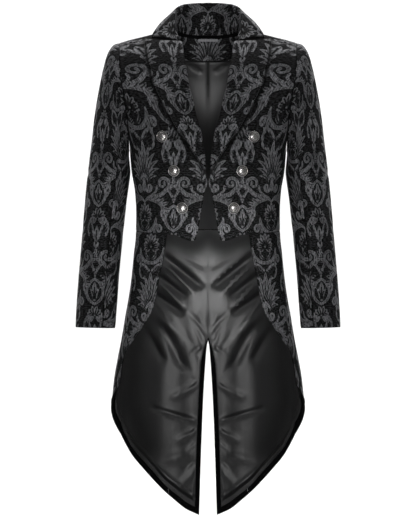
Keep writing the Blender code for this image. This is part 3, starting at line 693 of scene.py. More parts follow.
def make_brocade():
    material, tree, shader = new_material("jacquard_brocade")
    place = attribute(tree, "cloth", "Vector")
    # the yarn wanders across the figure's edge, as floats of satin do
    noise = cloth_noise(tree, place, 380.0, Roughness=0.6)
    wander = calculate(tree, "MULTIPLY_ADD", noise, 2 * WANDER, -WANDER)
    edge = calculate(tree, "ADD", attribute(tree, "figure"), wander)
    mask = ranged(tree, edge, (0.0, 1.0), source=(-0.45, 0.55), smooth=True)
    # where figure and ground change places the yarns dive under each other, which draws a dark outline
    rim_distance = calculate(tree, "ABSOLUTE", edge)
    outline = ranged(tree, rim_distance, (0.25, 1.0), source=(0.15, 1.1), smooth=True)
    # a second, finer line runs inside the broad strokes
    inner_distance = calculate(tree, "ABSOLUTE", calculate(tree, "ADD", edge, -INNER_LINE))
    inner_line = ranged(tree, inner_distance, (0.4, 1.0), source=(0.1, 0.65), smooth=True)
    # the ground is mottled along the weft
    mottle = cloth_noise(tree, streaked(tree, place, 150.0, 420.0), 1.0, Roughness=0.6)
    ground = shades(tree, mottle, "#050505", "#29292a", places=(0.42, 0.66))
    # the satin is streaked along the warp, 2 mm across and 9 mm long
    streak = cloth_noise(tree, streaked(tree, place, 420.0, 110.0), 1.0, detail=1.0)
    satin = shades(tree, streak, "#39393b", "#747477", places=(0.3, 0.7))
    colour = add_node(tree, "ShaderNodeMix", {"data_type": "RGBA"}, _0=mask, _6=ground, _7=satin)
    # cloth fades and catches dust unevenly, over a hand's breadth
    patchy = ranged(tree, cloth_noise(tree, place, 14.0), (0.6, 1.04), source=(0.3, 0.7))
    # painted shade: the cloth is darkened along its seams, on its inside face, along the edges of lapel and
    # collar and on the chest under the lapel's edge
    tone_and_shade_factor = ranged(tree, attribute(tree, "dark_tone_and_shade"), (1.0, 0.06), smooth=True)
    uneven = calculate(tree, "MULTIPLY", tone_and_shade_factor, patchy)
    depth = calculate(tree, "MULTIPLY", calculate(tree, "MULTIPLY", outline, inner_line), uneven)
    wire(tree, shader, Base_Color=scaled(tree, colour.outputs[2], depth),
         Roughness=ranged(tree, mask, (0.95, 0.5)))
    # relief: the figure lies even, and the ground around it is bunched in cells about 3 mm across
    crinkle = add_node(tree, "ShaderNodeTexVoronoi", {"voronoi_dimensions": "2D", "feature": "SMOOTH_F1"},
                       Vector=place, Scale=330.0, Smoothness=0.6)
    bunched = calculate(tree, "SUBTRACT", 1.0, mask)
    rumple = calculate(tree, "MULTIPLY", crinkle.outputs[0], bunched)
    height = calculate(tree, "ADD", rumple, calculate(tree, "MULTIPLY_ADD", mask, 0.5, 0.5))
    relief = add_node(tree, "ShaderNodeBump", Strength=0.55, Distance=RELIEF, Height=height)
    wire(tree, shader, Normal=relief.outputs[0])
    shader.inputs["IOR"].default_value = 1.45
    shader.inputs["Specular IOR Level"].default_value = 0.1
    return material


# %% Lining satin, tape, thread and button metal
def make_satin():
    material, tree, shader = new_material("lining_satin")
    place = attribute(tree, "cloth", "Vector")
    # satin is never quite even: warp threads are drawn tight or slack in bands of a few millimetres
    uneven = cloth_noise(tree, streaked(tree, place, 260.0, 14.0), 1.0)
    shade = shades(tree, uneven, "#0a0a0b", "#141415")
    # painted shade: the satin is made dark and matt along its seams and where shade is painted on it, in the
    # pleat, behind the front's hem, at the sides and over the lower back
    dark_tone_and_shade = attribute(tree, "dark_tone_and_shade")
    satin_shade_factor = ranged(tree, dark_tone_and_shade, (1.0, 0.25))
    sheen_lost = ranged(tree, dark_tone_and_shade, (0.0, 0.5))
    rough = calculate(tree, "ADD", ranged(tree, uneven, (0.39, 0.47)), sheen_lost, use_clamp=True)
    wire(tree, shader, Base_Color=scaled(tree, shade, satin_shade_factor), Roughness=rough)
    relief = add_node(tree, "ShaderNodeBump", Strength=0.12, Distance=0.002,
                      Height=cloth_noise(tree, place, 60.0))
    wire(tree, shader, Normal=relief.outputs[0])
    shader.inputs["IOR"].default_value = 1.45
    return material


def make_tape():
    material, tree, shader = new_material("woven_tape")
    ribs = add_node(tree, "ShaderNodeTexWave", {"bands_direction": "X"},
                    Vector=attribute(tree, "cloth", "Vector"), Scale=260.0, Distortion=1.0)
    wire(tree, shader, Base_Color=shades(tree, ribs.outputs[1], "#6c6c70", "#8e8e92"))
    shader.inputs["Roughness"].default_value = 0.6
    return material


def make_thread():
    material, tree, shader = new_material("polyester_thread")
    place = add_node(tree, "ShaderNodeTexCoord")
    shine = add_node(tree, "ShaderNodeTexNoise", Vector=place.outputs["Object"], Scale=900.0, Detail=1.0)
    wire(tree, shader, Base_Color=shades(tree, shine.outputs[0], "#1c1c1d", "#3a3a3c"))
    shader.inputs["Roughness"].default_value = 0.5
    return material


def make_metal():
    material, tree, shader = new_material("blackened_cast_metal")
    place = add_node(tree, "ShaderNodeTexCoord")
    grime = add_node(tree, "ShaderNodeTexNoise", Vector=place.outputs["Object"], Scale=700.0, Detail=4.0)
    # the hollows of the casting are black, and what stands out is rubbed bright
    worn = calculate(tree, "MULTIPLY_ADD", grime.outputs[0], 0.5, attribute(tree, "hollow"))
    shade = shades(tree, worn, "#a3a19f", "#121212", places=(0.32, 0.85))
    wire(tree, shader, Base_Color=shade, Roughness=ranged(tree, worn, (0.26, 0.55), source=(0.3, 0.9)))
    shader.inputs["Metallic"].default_value = 1.0
    return material


BROCADE, SATIN, TAPE = make_brocade(), make_satin(), make_tape()
THREAD, METAL = make_thread(), make_metal()
print("materials:", [material.name for material in (BROCADE, SATIN, TAPE, THREAD, METAL)])

# %% [markdown]
# ## Cloth shells
# Cloth has two sides and an edge. The face that shows gets the fine grid and carries the figure, the inside
# gets every fourth point, and a narrow rim joins them. Solidify would double the fine grid for a side that
# nobody sees. At a seam both panels roll inwards a little, and that small valley is what the eye reads as
# a seam. The seam is also made a little darker, and shade is painted on the cloth under the edge of a lapel.

# %% Build a shell from a fine grid
REVERSE = -6.0          # figure value on the inside of the cloth, where only the ground shows
SEAM_ROLL, ROLL_WIDTH = 0.75, 2.6       # mm that a panel's edge turns in at its seam, and over what width
SEAM_PRESSED, EDGE_SHADE = 2.2, 8.0   # mm over which it is darkened at a seam, and over which shade is painted along a free edge of lapel and collar
GORGE_END, GORGE_FADE, GORGE_LOW = 90, 8, -14       # x where the sewn gorge ends, mm of fade, its lowest z
GORGE_SHARE = 0.3       # of the painted edge shade that is left along the sewn gorge
CENTRE_WIDTH, CENTRE_SHARE = 6, 0.2     # mm from the centre back, and the share that a lining keeps there
WRONG_SIDE = 0.8        # how dark the brocade's inside face is made


def shell_faces(outer, inner_rows, inner_columns):
    """Corner lists of a shell: its fine face, its coarse inside and the rim between them."""
    rows, columns = outer
    index = np.arange(rows * columns).reshape(rows, columns)
    face = np.stack([index[:-1, :-1], index[1:, :-1], index[1:, 1:], index[:-1, 1:]], axis=-1)
    inside = index.size + np.arange(len(inner_rows) * len(inner_columns)).reshape(len(inner_rows), -1)
    back = np.stack([inside[:-1, :-1], inside[:-1, 1:], inside[1:, 1:], inside[1:, :-1]], axis=-1)
    rim = []
    for near, far in zip(range(len(inner_columns) - 1), range(1, len(inner_columns))):
        span = np.arange(inner_columns[near], inner_columns[far] + 1)
        rim.append([*index[0, span], inside[0, far], inside[0, near]])
        rim.append([*index[-1, span[::-1]], inside[-1, near], inside[-1, far]])
    for near, far in zip(range(len(inner_rows) - 1), range(1, len(inner_rows))):
        span = np.arange(inner_rows[near], inner_rows[far] + 1)
        rim.append([*index[span[::-1], 0], inside[near, 0], inside[far, 0]])
        rim.append([*index[span, -1], inside[far, -1], inside[near, -1]])
    return face.reshape(-1, 4), back.reshape(-1, 4), rim


def mesh_object(name, vertices, face_lists, material):
    """A mesh object from vertices in mm and lists of faces, shaded smooth except at sharp corners."""
    sizes = np.concatenate([[len(face) for face in faces] for faces in face_lists]).astype(np.int32)
    corners = np.concatenate([np.concatenate([np.asarray(face) for face in faces]) for faces in face_lists])
    mesh = bpy.data.meshes.new(name)
    mesh.vertices.add(len(vertices))
    mesh.vertices.foreach_set("co", (vertices * MM).astype(np.float32).ravel())
    mesh.loops.add(len(corners))
    mesh.loops.foreach_set("vertex_index", corners.astype(np.int32))
    mesh.polygons.add(len(sizes))
    mesh.polygons.foreach_set("loop_start", np.concatenate([[0], np.cumsum(sizes)[:-1]]).astype(np.int32))
    mesh.update(calc_edges=True)
    mesh.materials.append(material)
    mesh.shade_smooth()
    mesh.set_sharp_from_angle(angle=math.radians(55))
    return new_object(name, mesh)


def shaded_edges(grid):
    """How much painted shade a lapel or collar gets: 1 at its rim, 0 further in, and weak where the gorge is
    sewn.
    """
    x, y, z = (grid[..., axis] for axis in range(3))
    free = np.clip((np.abs(x) - GORGE_END) / GORGE_FADE, 0, 1)
    at_gorge = (y < 0) & (z > GORGE_LOW)
    weak = GORGE_SHARE + (1 - GORGE_SHARE) * free
    return (1 - off_rim(grid[..., :3], EDGE_SHADE)) * np.where(at_gorge, weak, 1.0)


def cloth_shell(name, grid, wall, material, figured=True, side=1, dark_tone_and_shade=None):
    """A shell on a fine grid of x, y, z, across and down. Side -1 makes the mirror image.
    Unless it is told how dark each point is, with shade painted on it, only the seams are darkened."""
    points, places = grid[..., :3].copy(), grid[..., 3:5]
    if dark_tone_and_shade is None:
        dark_tone_and_shade = 1 - off_rim(points, SEAM_PRESSED)
    if not figured:     # at the centre back the two linings are one smooth surface
        dark_tone_and_shade = dark_tone_and_shade * np.clip(np.abs(points[..., 0]) / CENTRE_WIDTH, CENTRE_SHARE, 1)
    if side < 0:
        points, places, dark_tone_and_shade = points[:, ::-1] * (-1, 1, 1), places[:, ::-1], dark_tone_and_shade[:, ::-1]
    rows, columns = points.shape[:2]
    inner_rows, inner_columns = np.arange(0, rows, INNER_STEP), np.arange(0, columns, INNER_STEP)
    coarse = np.ix_(inner_rows, inner_columns)
    inside = (points - normals_of(points) * wall)[coarse]
    faces = shell_faces((rows, columns), inner_rows, inner_columns)
    if side < 0:        # the mirror image also mirrors the diagonals at which the quads are split
        faces = (np.roll(faces[0], 1, axis=-1), *faces[1:])
    piece = mesh_object(name, np.vstack([points.reshape(-1, 3), inside.reshape(-1, 3)]), faces, material)
    flat, flat_inside = places.reshape(-1, 2), places[coarse].reshape(-1, 2)
    figure = figure_at(flat[:, 0], flat[:, 1]) if figured else np.full(len(flat), REVERSE)
    wrong_side = np.full(len(flat_inside), WRONG_SIDE if figured else 0.0)
    cloth = np.vstack([flat, flat_inside]) * MM
    set_attribute(piece.data, "figure", np.concatenate([figure, np.full(len(flat_inside), REVERSE)]))
    set_attribute(piece.data, "dark_tone_and_shade", np.concatenate([dark_tone_and_shade.ravel(), wrong_side]))
    set_attribute(piece.data, "cloth", np.column_stack([cloth, np.zeros(len(cloth))]))
    return piece


def shade_along(piece, line, half_width, amount):
    """Paints shade along a line of x and z in mm: the piece is made dark and, in satin, matt, as the shadow
    under a sharp edge or in a pleat.
    """
    mesh = piece.data
    count = len(mesh.vertices)
    places, values = np.empty(count * 3, np.float32), np.empty(count, np.float32)
    mesh.vertices.foreach_get("co", places)
    mesh.attributes["dark_tone_and_shade"].data.foreach_get("value", values)
    flat = places.reshape(-1, 3)[:, [0, 2]] / MM
    flat[:, 0] = np.abs(flat[:, 0])
    away = np.full(count, 1e6)
    line = np.array(line, dtype=float)
    for start, end in zip(line[:-1], line[1:]):
        run = end - start
        share = np.clip((flat - start) @ run / max(run @ run, 1e-6), 0, 1)
        away = np.minimum(away, np.linalg.norm(flat - start - share[:, None] * run, axis=1))
    dark = amount * np.exp(-(away / half_width) ** 2)
    mesh.attributes["dark_tone_and_shade"].data.foreach_set("value", np.maximum(values, dark).astype(np.float32))


# %% Creases, seams and edges
def crease_lift(x, y, creases):
    """Sum of soft ridges and troughs along segments: x0 y0 x1 y1 half-width depth, all in mm."""
    total = np.zeros_like(x)
    for start_x, start_y, end_x, end_y, half, depth in creases:
        run_x, run_y = end_x - start_x, end_y - start_y
        along = ((x - start_x) * run_x + (y - start_y) * run_y) / (run_x ** 2 + run_y ** 2)
        along = np.clip(along, 0, 1)
        away = np.hypot(x - start_x - run_x * along, y - start_y - run_y * along)
        taper = 0.35 + 0.65 * np.sin(math.pi * (0.12 + 0.76 * along))
        total += depth * taper * np.exp(-(away / half) ** 2)
    return total


def with_creases(grid, creases):
    """The grid with its creases, which lie at places on the cloth, raised along its normals."""
    if not creases:
        return grid
    grid = grid.copy()
    lift = crease_lift(grid[..., 3], grid[..., 4], creases)
    grid[..., :3] += normals_of(grid[..., :3]) * lift[..., None]
    return grid


def with_rolled_edges(grid, depth=SEAM_ROLL):
    """The grid with its outermost few millimetres turned inwards, as at a seam or a thin edge."""
    grid = grid.copy()
    points = grid[..., :3]
    rim = np.minimum(*distance_to_rim(points))
    points -= normals_of(points) * (depth * np.exp(-(rim / ROLL_WIDTH) ** 2))[..., None]
    return grid


def meeting_in_the_middle(grid, reach=1.0):
    """The grid with its edge at the centre back drawn to the middle line, so that no light comes through."""
    grid = grid.copy()
    grid[..., 0][np.abs(grid[..., 0]) < reach] = 0.0
    return grid


def along_rows(points):
    """Length along each row of a grid from its first column, in mm."""
    steps = np.linalg.norm(np.diff(points, axis=1), axis=-1)
    return np.concatenate([np.zeros((len(points), 1)), np.cumsum(steps, axis=1)], axis=1)


def even_rows(guides, count):
    """Each row of a guide grid resampled to a count of even steps along its own smooth curve."""
    dense = smooth_through(guides.swapaxes(0, 1), 12 * guides.shape[1]).swapaxes(0, 1)
    rows = []
    for line, length in zip(dense, along_rows(dense)):
        places = np.linspace(0, length[-1], count)
        rows.append(np.stack([np.interp(places, length, values) for values in line.T], -1))
    return np.array(rows)


# %% [markdown]
# ## Body panels
# Forepart, side body, back with its tail, and skirt. Each is a patch of the form between its seams. Its
# place on the cloth is measured round the body and down it, so the figure hangs on the straight grain and
# mirrors at the centre front and the centre back, as a careful cutter lays it.

# %% Places on the cloth
STEP_TURNS = np.linspace(0, 180, 91)
CHEST_RING = np.array([form(turn, 1.0) for turn in STEP_TURNS])
CHEST_LENGTH = np.concatenate([[0], np.cumsum(np.linalg.norm(np.diff(CHEST_RING, axis=0), axis=1))])
SHOULDER_RISE = 1.16        # length of cloth over the chest and shoulder for each mm of height
SEAM_GAP, SLEEVE_GAP = 0.06, 0.08       # mm that a panel ends short of its seam


def down_cloth(level):
    """How far down the cloth a level lies, in mm."""
    if level >= 1:
        return -level * ARMPIT
    return -ARMPIT * (1 - SHOULDER_RISE * (1 - level))


def round_chest(turn, from_back):
    """How far round the chest a turn lies, in mm, from the centre front or from the centre back."""
    length = np.interp(turn, STEP_TURNS, CHEST_LENGTH)
    return CHEST_LENGTH[-1] - length if from_back else length


def guide_points(places, guide):
    """What a function says of each turn and level of a patch: x, y, z, across the cloth and down it."""
    return np.array([[guide(turn, level) for turn, level in line] for line in places])


def body_guides(places, shift, from_back):
    """Guide points of a body panel, which end just short of its seams."""
    def guide(turn, level):
        across = round_chest(turn, from_back)
        if level >= 1:
            across *= RINGS.at(level * ARMPIT, "half_width") / RINGS.at(ARMPIT, "half_width")
        return (*form(turn, level), across + shift[0], down_cloth(level) + shift[1])

    guides = guide_points(places, guide)
    for edge, inner in ((np.s_[0], np.s_[1]), (np.s_[-1], np.s_[-2]),
                        (np.s_[:, 0], np.s_[:, 1]), (np.s_[:, -1], np.s_[:, -2])):
        inwards = guides[inner][..., :3] - guides[edge][..., :3]
        length = np.linalg.norm(inwards, axis=-1, keepdims=True)
        guides[edge][..., :3] += inwards / np.maximum(length, 1e-6) * SEAM_GAP
    return guides


# %% Patches of the panels
def front_places():
    hem_turn = [place_at(x, -430)[0] for x in (26, 90)]

    def top(share):
        return mix(front_edge(0), side_seam(0), share), 0.0

    def bottom(share):
        turn = mix(hem_turn[0], SIDE_SEAM_TURN, share)
        if turn >= hem_turn[1]:
            return on_waist(turn)
        return turn, FRONT_HEM.at(form(turn, WAIST_LEVEL).x, "height") / ARMPIT

    def inner(share):
        level = share * bottom(0)[1]
        return (front_edge(level) if share < 1 else hem_turn[0]), level

    def outer(share):
        level = share * bottom(1)[1]
        return side_seam(level), level

    return patch(top, bottom, inner, outer, 20, 46, crowd=1.1)


def side_places():
    levels = (step / 1000 for step in range(1000))
    front_level = next(level for level in levels if armhole_turn(level, False) >= SIDE_SEAM_TURN)
    back_level = level_of(*SEAM_START)
    waist_turn = back_seam(WAIST_LEVEL)

    def top(share):
        swing = mix(-1.0, 1.0, share)
        back = swing >= 0
        level = mix(1.0, back_level if back else front_level, math.sin(abs(swing) * math.pi / 2) ** 2)
        return armhole_turn(level, back), level

    def bottom(share):
        return on_waist(mix(SIDE_SEAM_TURN, waist_turn, share))

    def front(share):
        return SIDE_SEAM_TURN, mix(front_level, bottom(0)[1], share)

    def back(share):
        level = mix(back_level, bottom(1)[1], share)
        return back_seam(level), level

    return patch(top, bottom, front, back, 18, 26)


def back_places():
    neck_x, neck_share, neck_level = 76, 0.36, level_of(0, 9)
    neck_turn = turn_at(neck_x, 0.0, True)

    def top(share):
        if share < neck_share:
            x = neck_x * share / neck_share
            return place_at(x, NECK_BACK.at(x, "height"), True)
        return mix(neck_turn, armhole_turn(0, True), (share - neck_share) / (1 - neck_share)), 0.0

    def bottom(share):
        return hem_point(share, 19.4, SEAM_FOOT)

    def centre(share):
        level = mix(neck_level, bottom(0)[1], share)
        return vent_edge(level), level

    def outer(share):
        level = share * bottom(1)[1]
        return back_seam(level), level

    return patch(top, bottom, centre, outer, 16, 80, crowd=1.3)[:, ::-1]


def skirt_places():
    def top(share):
        return on_waist(mix(free_edge(0)[0], back_seam(WAIST_LEVEL), share))

    def bottom(share):
        return hem_point(1 - share, SEAM_FOOT, HEM_CORNER)

    def seam(share):
        level = mix(top(1)[1], bottom(1)[1], share)
        return back_seam(level), level

    return patch(top, bottom, free_edge, seam, 22, 32, fine=0.1)


# %% Sew the body panels
FRONT_CREASES = [       # across, down, across, down, half width, depth
    (150, 232, 96, 268, 9, -1.4), (162, 262, 112, 300, 8, -1.2), (30, 300, 78, 322, 8, -0.9),
    (22, 318, 60, 352, 7, 0.8), (150, 150, 118, 212, 10, -1.6), (138, 398, 96, 414, 8, 1.0),
]
SIDE_CREASES = [(230, 330, 180, 346, 8, -1.4), (236, 372, 186, 382, 8, -1.2), (226, 292, 200, 300, 9, -1.2)]
BACK_CREASES = [
    (8, 392, 74, 380, 9, -1.6), (12, 418, 82, 408, 8, -1.3), (96, 130, 128, 214, 11, -2.0),
    (20, 60, 78, 84, 12, -1.2), (6, 640, 20, 560, 8, 1.6), (14, 662, 44, 596, 9, -1.4),
    (34, 450, 40, 640, 12, 1.5), (62, 620, 58, 860, 14, -1.8),
]
SKIRT_CREASES = [
    (150, 436, 128, 520, 11, 1.6), (196, 432, 188, 560, 12, -1.6), (236, 432, 238, 540, 12, 1.4),
    (214, 600, 220, 760, 14, 1.6), (250, 640, 256, 820, 14, -1.8),
]
PANELS = {      # name of the node: places, creases, shift of the figure, and whether it starts at the back
    "front": (front_places, FRONT_CREASES, (0, 0), False),
    "side": (side_places, SIDE_CREASES, (34, 88), False),
    "back": (back_places, BACK_CREASES, (0, 26), True),
    "skirt": (skirt_places, SKIRT_CREASES, (20, 150), False),
}
SLOTS = {BROCADE.name: "brocade", SATIN.name: "satin_lining"}
SHELLS = {}         # name of a shell: piece, nodes that it stands for, slot, its cut in metres
GRIDS = {}          # the fine grids of the left half, for the sewing that lies on them


def keep(piece, nodes, slot, cut=None):
    """Notes what a finished piece stands for, and its cut if it is cloth."""
    SHELLS[piece.name] = (piece, nodes, slot, cut)
    return piece


def cut_of(grid):
    """Width, length and area of a panel's cloth before it was sewn, from its fine grid, in metres."""
    points = grid[..., :3] * MM
    width = np.linalg.norm(np.diff(points, axis=1), axis=-1).sum(axis=1).max()
    length = np.linalg.norm(np.diff(points, axis=0), axis=-1).sum(axis=0).max()
    cells = np.cross(points[1:, :-1] - points[:-1, :-1], points[:-1, 1:] - points[:-1, :-1])
    return float(width), float(length), float(np.linalg.norm(cells, axis=-1).sum())


def report_cut(node, grid):
    """Prints the size of a panel's grid and of its cut."""
    width, length, area = cut_of(grid)
    print(f"{node}: {grid.shape[0]} x {grid.shape[1]} points, "
          f"cut {width:.3f} x {length:.3f} m, {area:.3f} m2")


def make_pair(node, grid, wall, material, figured=True, dark_tone_and_shade=None):
    """The wearer's left and right shells of a panel, each standing for its node."""
    GRIDS[node] = grid
    for side, sign in SIDES.items():
        piece = cloth_shell(f"{node}_{side}_cloth", grid, wall, material, figured, sign, dark_tone_and_shade)
        keep(piece, [f"{node}_{side}"], SLOTS[material.name], cut_of(grid))
    report_cut(node, grid)


def make_single(node, grid, wall, material, figured=True, dark_tone_and_shade=None):
    """The one shell of a panel that lies across the middle."""
    piece = cloth_shell(f"{node}_cloth", grid, wall, material, figured, dark_tone_and_shade=dark_tone_and_shade)
    report_cut(node, grid)
    return keep(piece, [node], SLOTS[material.name], cut_of(grid))


def shade_pair(node, *marks):
    """Paints shade on both shells of a pair along lines: each mark is a line, its half width and its amount.
    """
    for side in SIDES:
        for mark in marks:
            shade_along(SHELLS[f"{node}_{side}_cloth"][0], *mark)


for node, (places, creases, shift, from_back) in PANELS.items():
    panel = fine_grid(body_guides(places(), shift, from_back), THREAD_GRID)
    panel = with_rolled_edges(with_creases(panel, creases))
    make_pair(node, meeting_in_the_middle(panel), CLOTH, BROCADE)

# %% [markdown]
# ## Sleeves
# A tailored sleeve has two pieces, top and under, with seams in front of and behind the arm. The rings are
# tilted at the shoulder, where the sleeve head follows the armhole, and level at the cuff.

# %% Sleeve rings
SLEEVE = Table("station outer_x outer_z inner_x inner_z middle_y half_depth armhole", [
    (0, 195, -6.3, 172, -245, -1, 68, 1.0), (1, 206.5, -10, 173.4, -247, -1, 70, 0.85),
    (2, 215.5, -18.5, 173.8, -250, -1, 71.5, 0.6), (3, 222.8, -35, 173.6, -255, -1, 73, 0.35),
    (4, 230.4, -62.5, 173, -262, -1.5, 74.5, 0.15), (5, 241.2, -115, 171.8, -274, -3, 75.5, 0.05),
    (6, 250, -170, 170.6, -290, -4, 75.5, 0), (7, 257.4, -235, 173.2, -315, -5, 75, 0),
    (8, 264.2, -290, 177.5, -345, -6, 73, 0), (9, 270, -345, 181.3, -382, -8, 71, 0),
    (10, 274.8, -405, 186, -425, -11, 68.5, 0), (11, 279.3, -460, 191, -472, -15, 65.5, 0),
    (12, 284, -515, 195.5, -522, -20, 62, 0), (13, 288.3, -574, 199.3, -577, -26, 58, 0),
    (14, 291.2, -631, 203.5, -633, -33, 53, 0),
])
SLEEVE_SEAM = 112.0         # degrees round the arm from its top to each seam
CREASE_WIDTH = 0.33         # half width of the soft creases, in stations
CREASES = [             # the sleeve's soft creases: station, turn of the middle, half length, depth
    (9.2, 95, 60, -3.0), (9.9, 120, 55, -2.5), (8.4, -100, 55, -2.5), (6.6, 60, 40, -1.8),
    (11.6, 80, 45, -1.5),
]
SLEEVE_CREASES = [      # finer ones: across, down, across, down, half width, depth
    (-60, 330, 10, 352, 8, -1.6), (-78, 300, -30, 318, 7, -1.1), (60, 372, 112, 350, 8, -1.3),
    (-100, 392, -58, 410, 7, -1.2), (70, 190, 96, 250, 9, -1.3), (-84, 150, -62, 236, 10, -1.4),
    (-20, 70, 34, 62, 9, -1.0), (-40, 468, 8, 474, 8, -0.8), (40, 420, 90, 408, 7, -1.0),
]


def sleeve_point(station, angle):
    """A point of the sleeve's outer face: angle 0 is the top of the arm, 90 the front, 180 the underarm."""
    outer_x, outer_z, inner_x, inner_z, middle_y, half_depth, share = (
        SLEEVE.at(station, name) for name in SLEEVE.columns[1:])
    turn = math.radians(angle)
    lean = math.cos(turn)
    middle = Vector(((outer_x + inner_x) / 2, middle_y, (outer_z + inner_z) / 2))
    half = Vector(((outer_x - inner_x) / 2, 0, (outer_z - inner_z) / 2))
    point = middle + half * lean + Vector((0, -half_depth * math.sin(turn), 0))
    if share > 0:       # the sleeve head leaves its flat first ring for the curve of the armhole
        level = math.degrees(math.acos(min((1 + lean) / 2, 1.0))) / 90
        seam = form(armhole_turn(level, math.sin(turn) < 0), level)
        _, outer_x, outer_z, inner_x, inner_z, middle_y, half_depth, _ = SLEEVE.rows[0]
        flat = Vector(((outer_x + inner_x) / 2 + (outer_x - inner_x) / 2 * lean,
                       middle_y - half_depth * math.sin(turn),
                       (outer_z + inner_z) / 2 + (outer_z - inner_z) / 2 * lean))
        point += (seam - flat) * share
    for crease_station, crease_turn, half_length, depth in CREASES:
        away = (angle - crease_turn + 180) % 360 - 180
        dent = depth * math.exp(-((station - crease_station) / CREASE_WIDTH) ** 2 - (away / half_length) ** 2)
        point += (point - middle).normalized() * dent
    return point


# %% Sew the sleeves
SLEEVE_LENGTH = 650.0       # mm of cloth from the sleeve's head to its cuff


def sleeve_guides(first, last, columns, shift):
    """Guide points between two turns round the arm, with their places on the cloth."""
    stations = np.concatenate([[0, 0.22, 0.45, 0.72], np.linspace(1, 14, 53)])
    guides = np.zeros((len(stations), columns + 1, 5))
    turns = [mix(first, last, fine_at_ends(column / columns)) for column in range(columns + 1)]
    for row, station in enumerate(stations):
        guides[row, :, :3] = [sleeve_point(station, turn) for turn in turns]
    lengths = along_rows(guides[..., :3])
    middle = lengths[:, columns // 2]
    upwards = along_rows(guides[::-1, :, :3].swapaxes(0, 1)).T[::-1]
    guides[..., 3] = lengths - middle[:, None] + shift[0]
    guides[..., 4] = SLEEVE_LENGTH - upwards + shift[1]
    for edge, inner in ((0, 1), (-1, -2)):
        inwards = guides[:, inner, :3] - guides[:, edge, :3]
        guides[:, edge, :3] += inwards / np.linalg.norm(inwards, axis=-1, keepdims=True) * SLEEVE_GAP
    return guides


def sleeve_grid(first, last, columns, shift, creases):
    """The fine grid of a sleeve piece between two turns round the arm."""
    panel = fine_grid(sleeve_guides(first, last, columns, shift), THREAD_GRID)
    return with_rolled_edges(with_creases(panel, creases))


top_sleeve = sleeve_grid(SLEEVE_SEAM, -SLEEVE_SEAM, 28, (0, 38), SLEEVE_CREASES)
under_sleeve = sleeve_grid(360 - SLEEVE_SEAM, SLEEVE_SEAM, 18, (82, 140), ())
make_pair("sleeve_top", top_sleeve, CLOTH, BROCADE)
make_pair("sleeve_under", under_sleeve, CLOTH, BROCADE)

# %% [markdown]
# ## Collar and lapels
# Both are double cloth with canvas between, so they hold a crisp edge and a springy fold. The collar's
# stand rises behind the neck and its leaf falls on the shoulders; the lapel rolls over the front's edge.
# They are lofted from cross-sections: each section is a short list of points from the neck seam over the
# fold to the free edge, because that is how the piece would look if the coat were sliced there.

# %% Collar sections
LEAF_WALL, ROLL = 2.0, 3.4      # thickness of collar and lapel, and radius of the collar's fold
LEAF_BELLY = 5.5                # mm that the leaf swells out between its fold and its edge
COLLAR = [      # sections of the left half: behind, neck seam (x, z), fold (x, y, z), leaf's edge (x, z)
    (True, (0, 9), (0, 41, 80), (0, -16)),
    (True, (25, 9.6), (27, 38.5, 79), (38, -15)),
    (True, (45, 11.5), (48, 30, 76.5), (73, -11)),
    (True, (63, 15.3), (63, 15, 70), (100, -2)),
    (True, (76, 20), (73, -3, 55), (118, 12.6)),
    (False, (73, 14), (73.5, -21, 34), (122, 9.6)),
    (False, (66.5, 4), (67.5, -38, 12), (123.5, 7.0)),
    (False, (61.5, -3.4), (61.5, -50.5, -0.6), (123.5, 4.3)),
]


def collar_lines(sections):
    """Cross-sections of the left half of the collar, from the centre back to the gorge."""
    over_chest = 1.6 * FACET + LAYER + LEAF_WALL / 2
    table = Table("share neck_x neck_y neck_z fold_x fold_y fold_z edge_x edge_y edge_z", [
        (share, *raised(*place_at(*neck, behind), -CLOTH / 2), *fold,
         *raised(*place_at(*edge, behind), over_chest))
        for share, (behind, neck, fold, edge) in zip(np.linspace(0, 1, len(COLLAR)), COLLAR)])
    lines = []
    for section in range(sections + 1):
        share = section / sections
        neck, fold, edge = (Vector([table.at(share, f"{name}_{axis}") for axis in "xyz"])
                            for name in ("neck", "fold", "edge"))
        spread = edge - neck
        out = Vector((spread.x, spread.y, 0)).normalized()
        rise = (fold - neck).normalized()
        roll = min(ROLL, 0.6 * (fold - neck).length)
        start = neck + rise * (LEAF_WALL + LAYER)
        fullness = math.sin(math.pi * min(share * 1.1, 1.0) * 0.5 + 0.5)
        belly = LEAF_BELLY * fullness * min((edge - fold).length / 60, 1.0)
        line = [start, mix(start, fold, 0.33) + out * 0.8, mix(start, fold, 0.66) + out * 0.6,
                fold - rise * roll * 0.5,
                fold + out * roll * 0.35 + rise * roll * 0.45,
                fold + out * roll * 1.15 + rise * roll * 0.62,
                fold + out * roll * 1.95 + rise * roll * 0.1]
        crest = line[-1]
        for down in (0.22, 0.45, 0.7, 1.0):
            swell = (out * 0.8 + Vector((0, 0, 0.6))) * belly * math.sin(math.pi * down)
            line.append(mix(crest, edge, down) + swell)
        lines.append([tuple(point) for point in line])
    return np.array(lines)


# %% Collar shell
NECK_SEAM_DOWN = 190        # where the neck seam lies down the repeat
NECK_SEAM_FLAT = 14         # mm from the neck seam over which the collar gets little painted edge shade


def leaf_grid(lines, shift):
    """An even grid through cross-sections, with how far each point lies across the cloth and along it."""
    columns = int(along_rows(lines)[:, -1].max() / THREAD_GRID / INNER_STEP + 1) * INNER_STEP + 1
    rows = count_for(lines, 0, THREAD_GRID)
    even = smooth_through(even_rows(lines, columns), rows)
    across = along_rows(even)
    fold_line = even[:, columns // 2]
    along = np.concatenate([[0], np.cumsum(np.linalg.norm(np.diff(fold_line, axis=0), axis=1))])
    return even, across + shift[0], np.broadcast_to((along + shift[1])[:, None], across.shape)


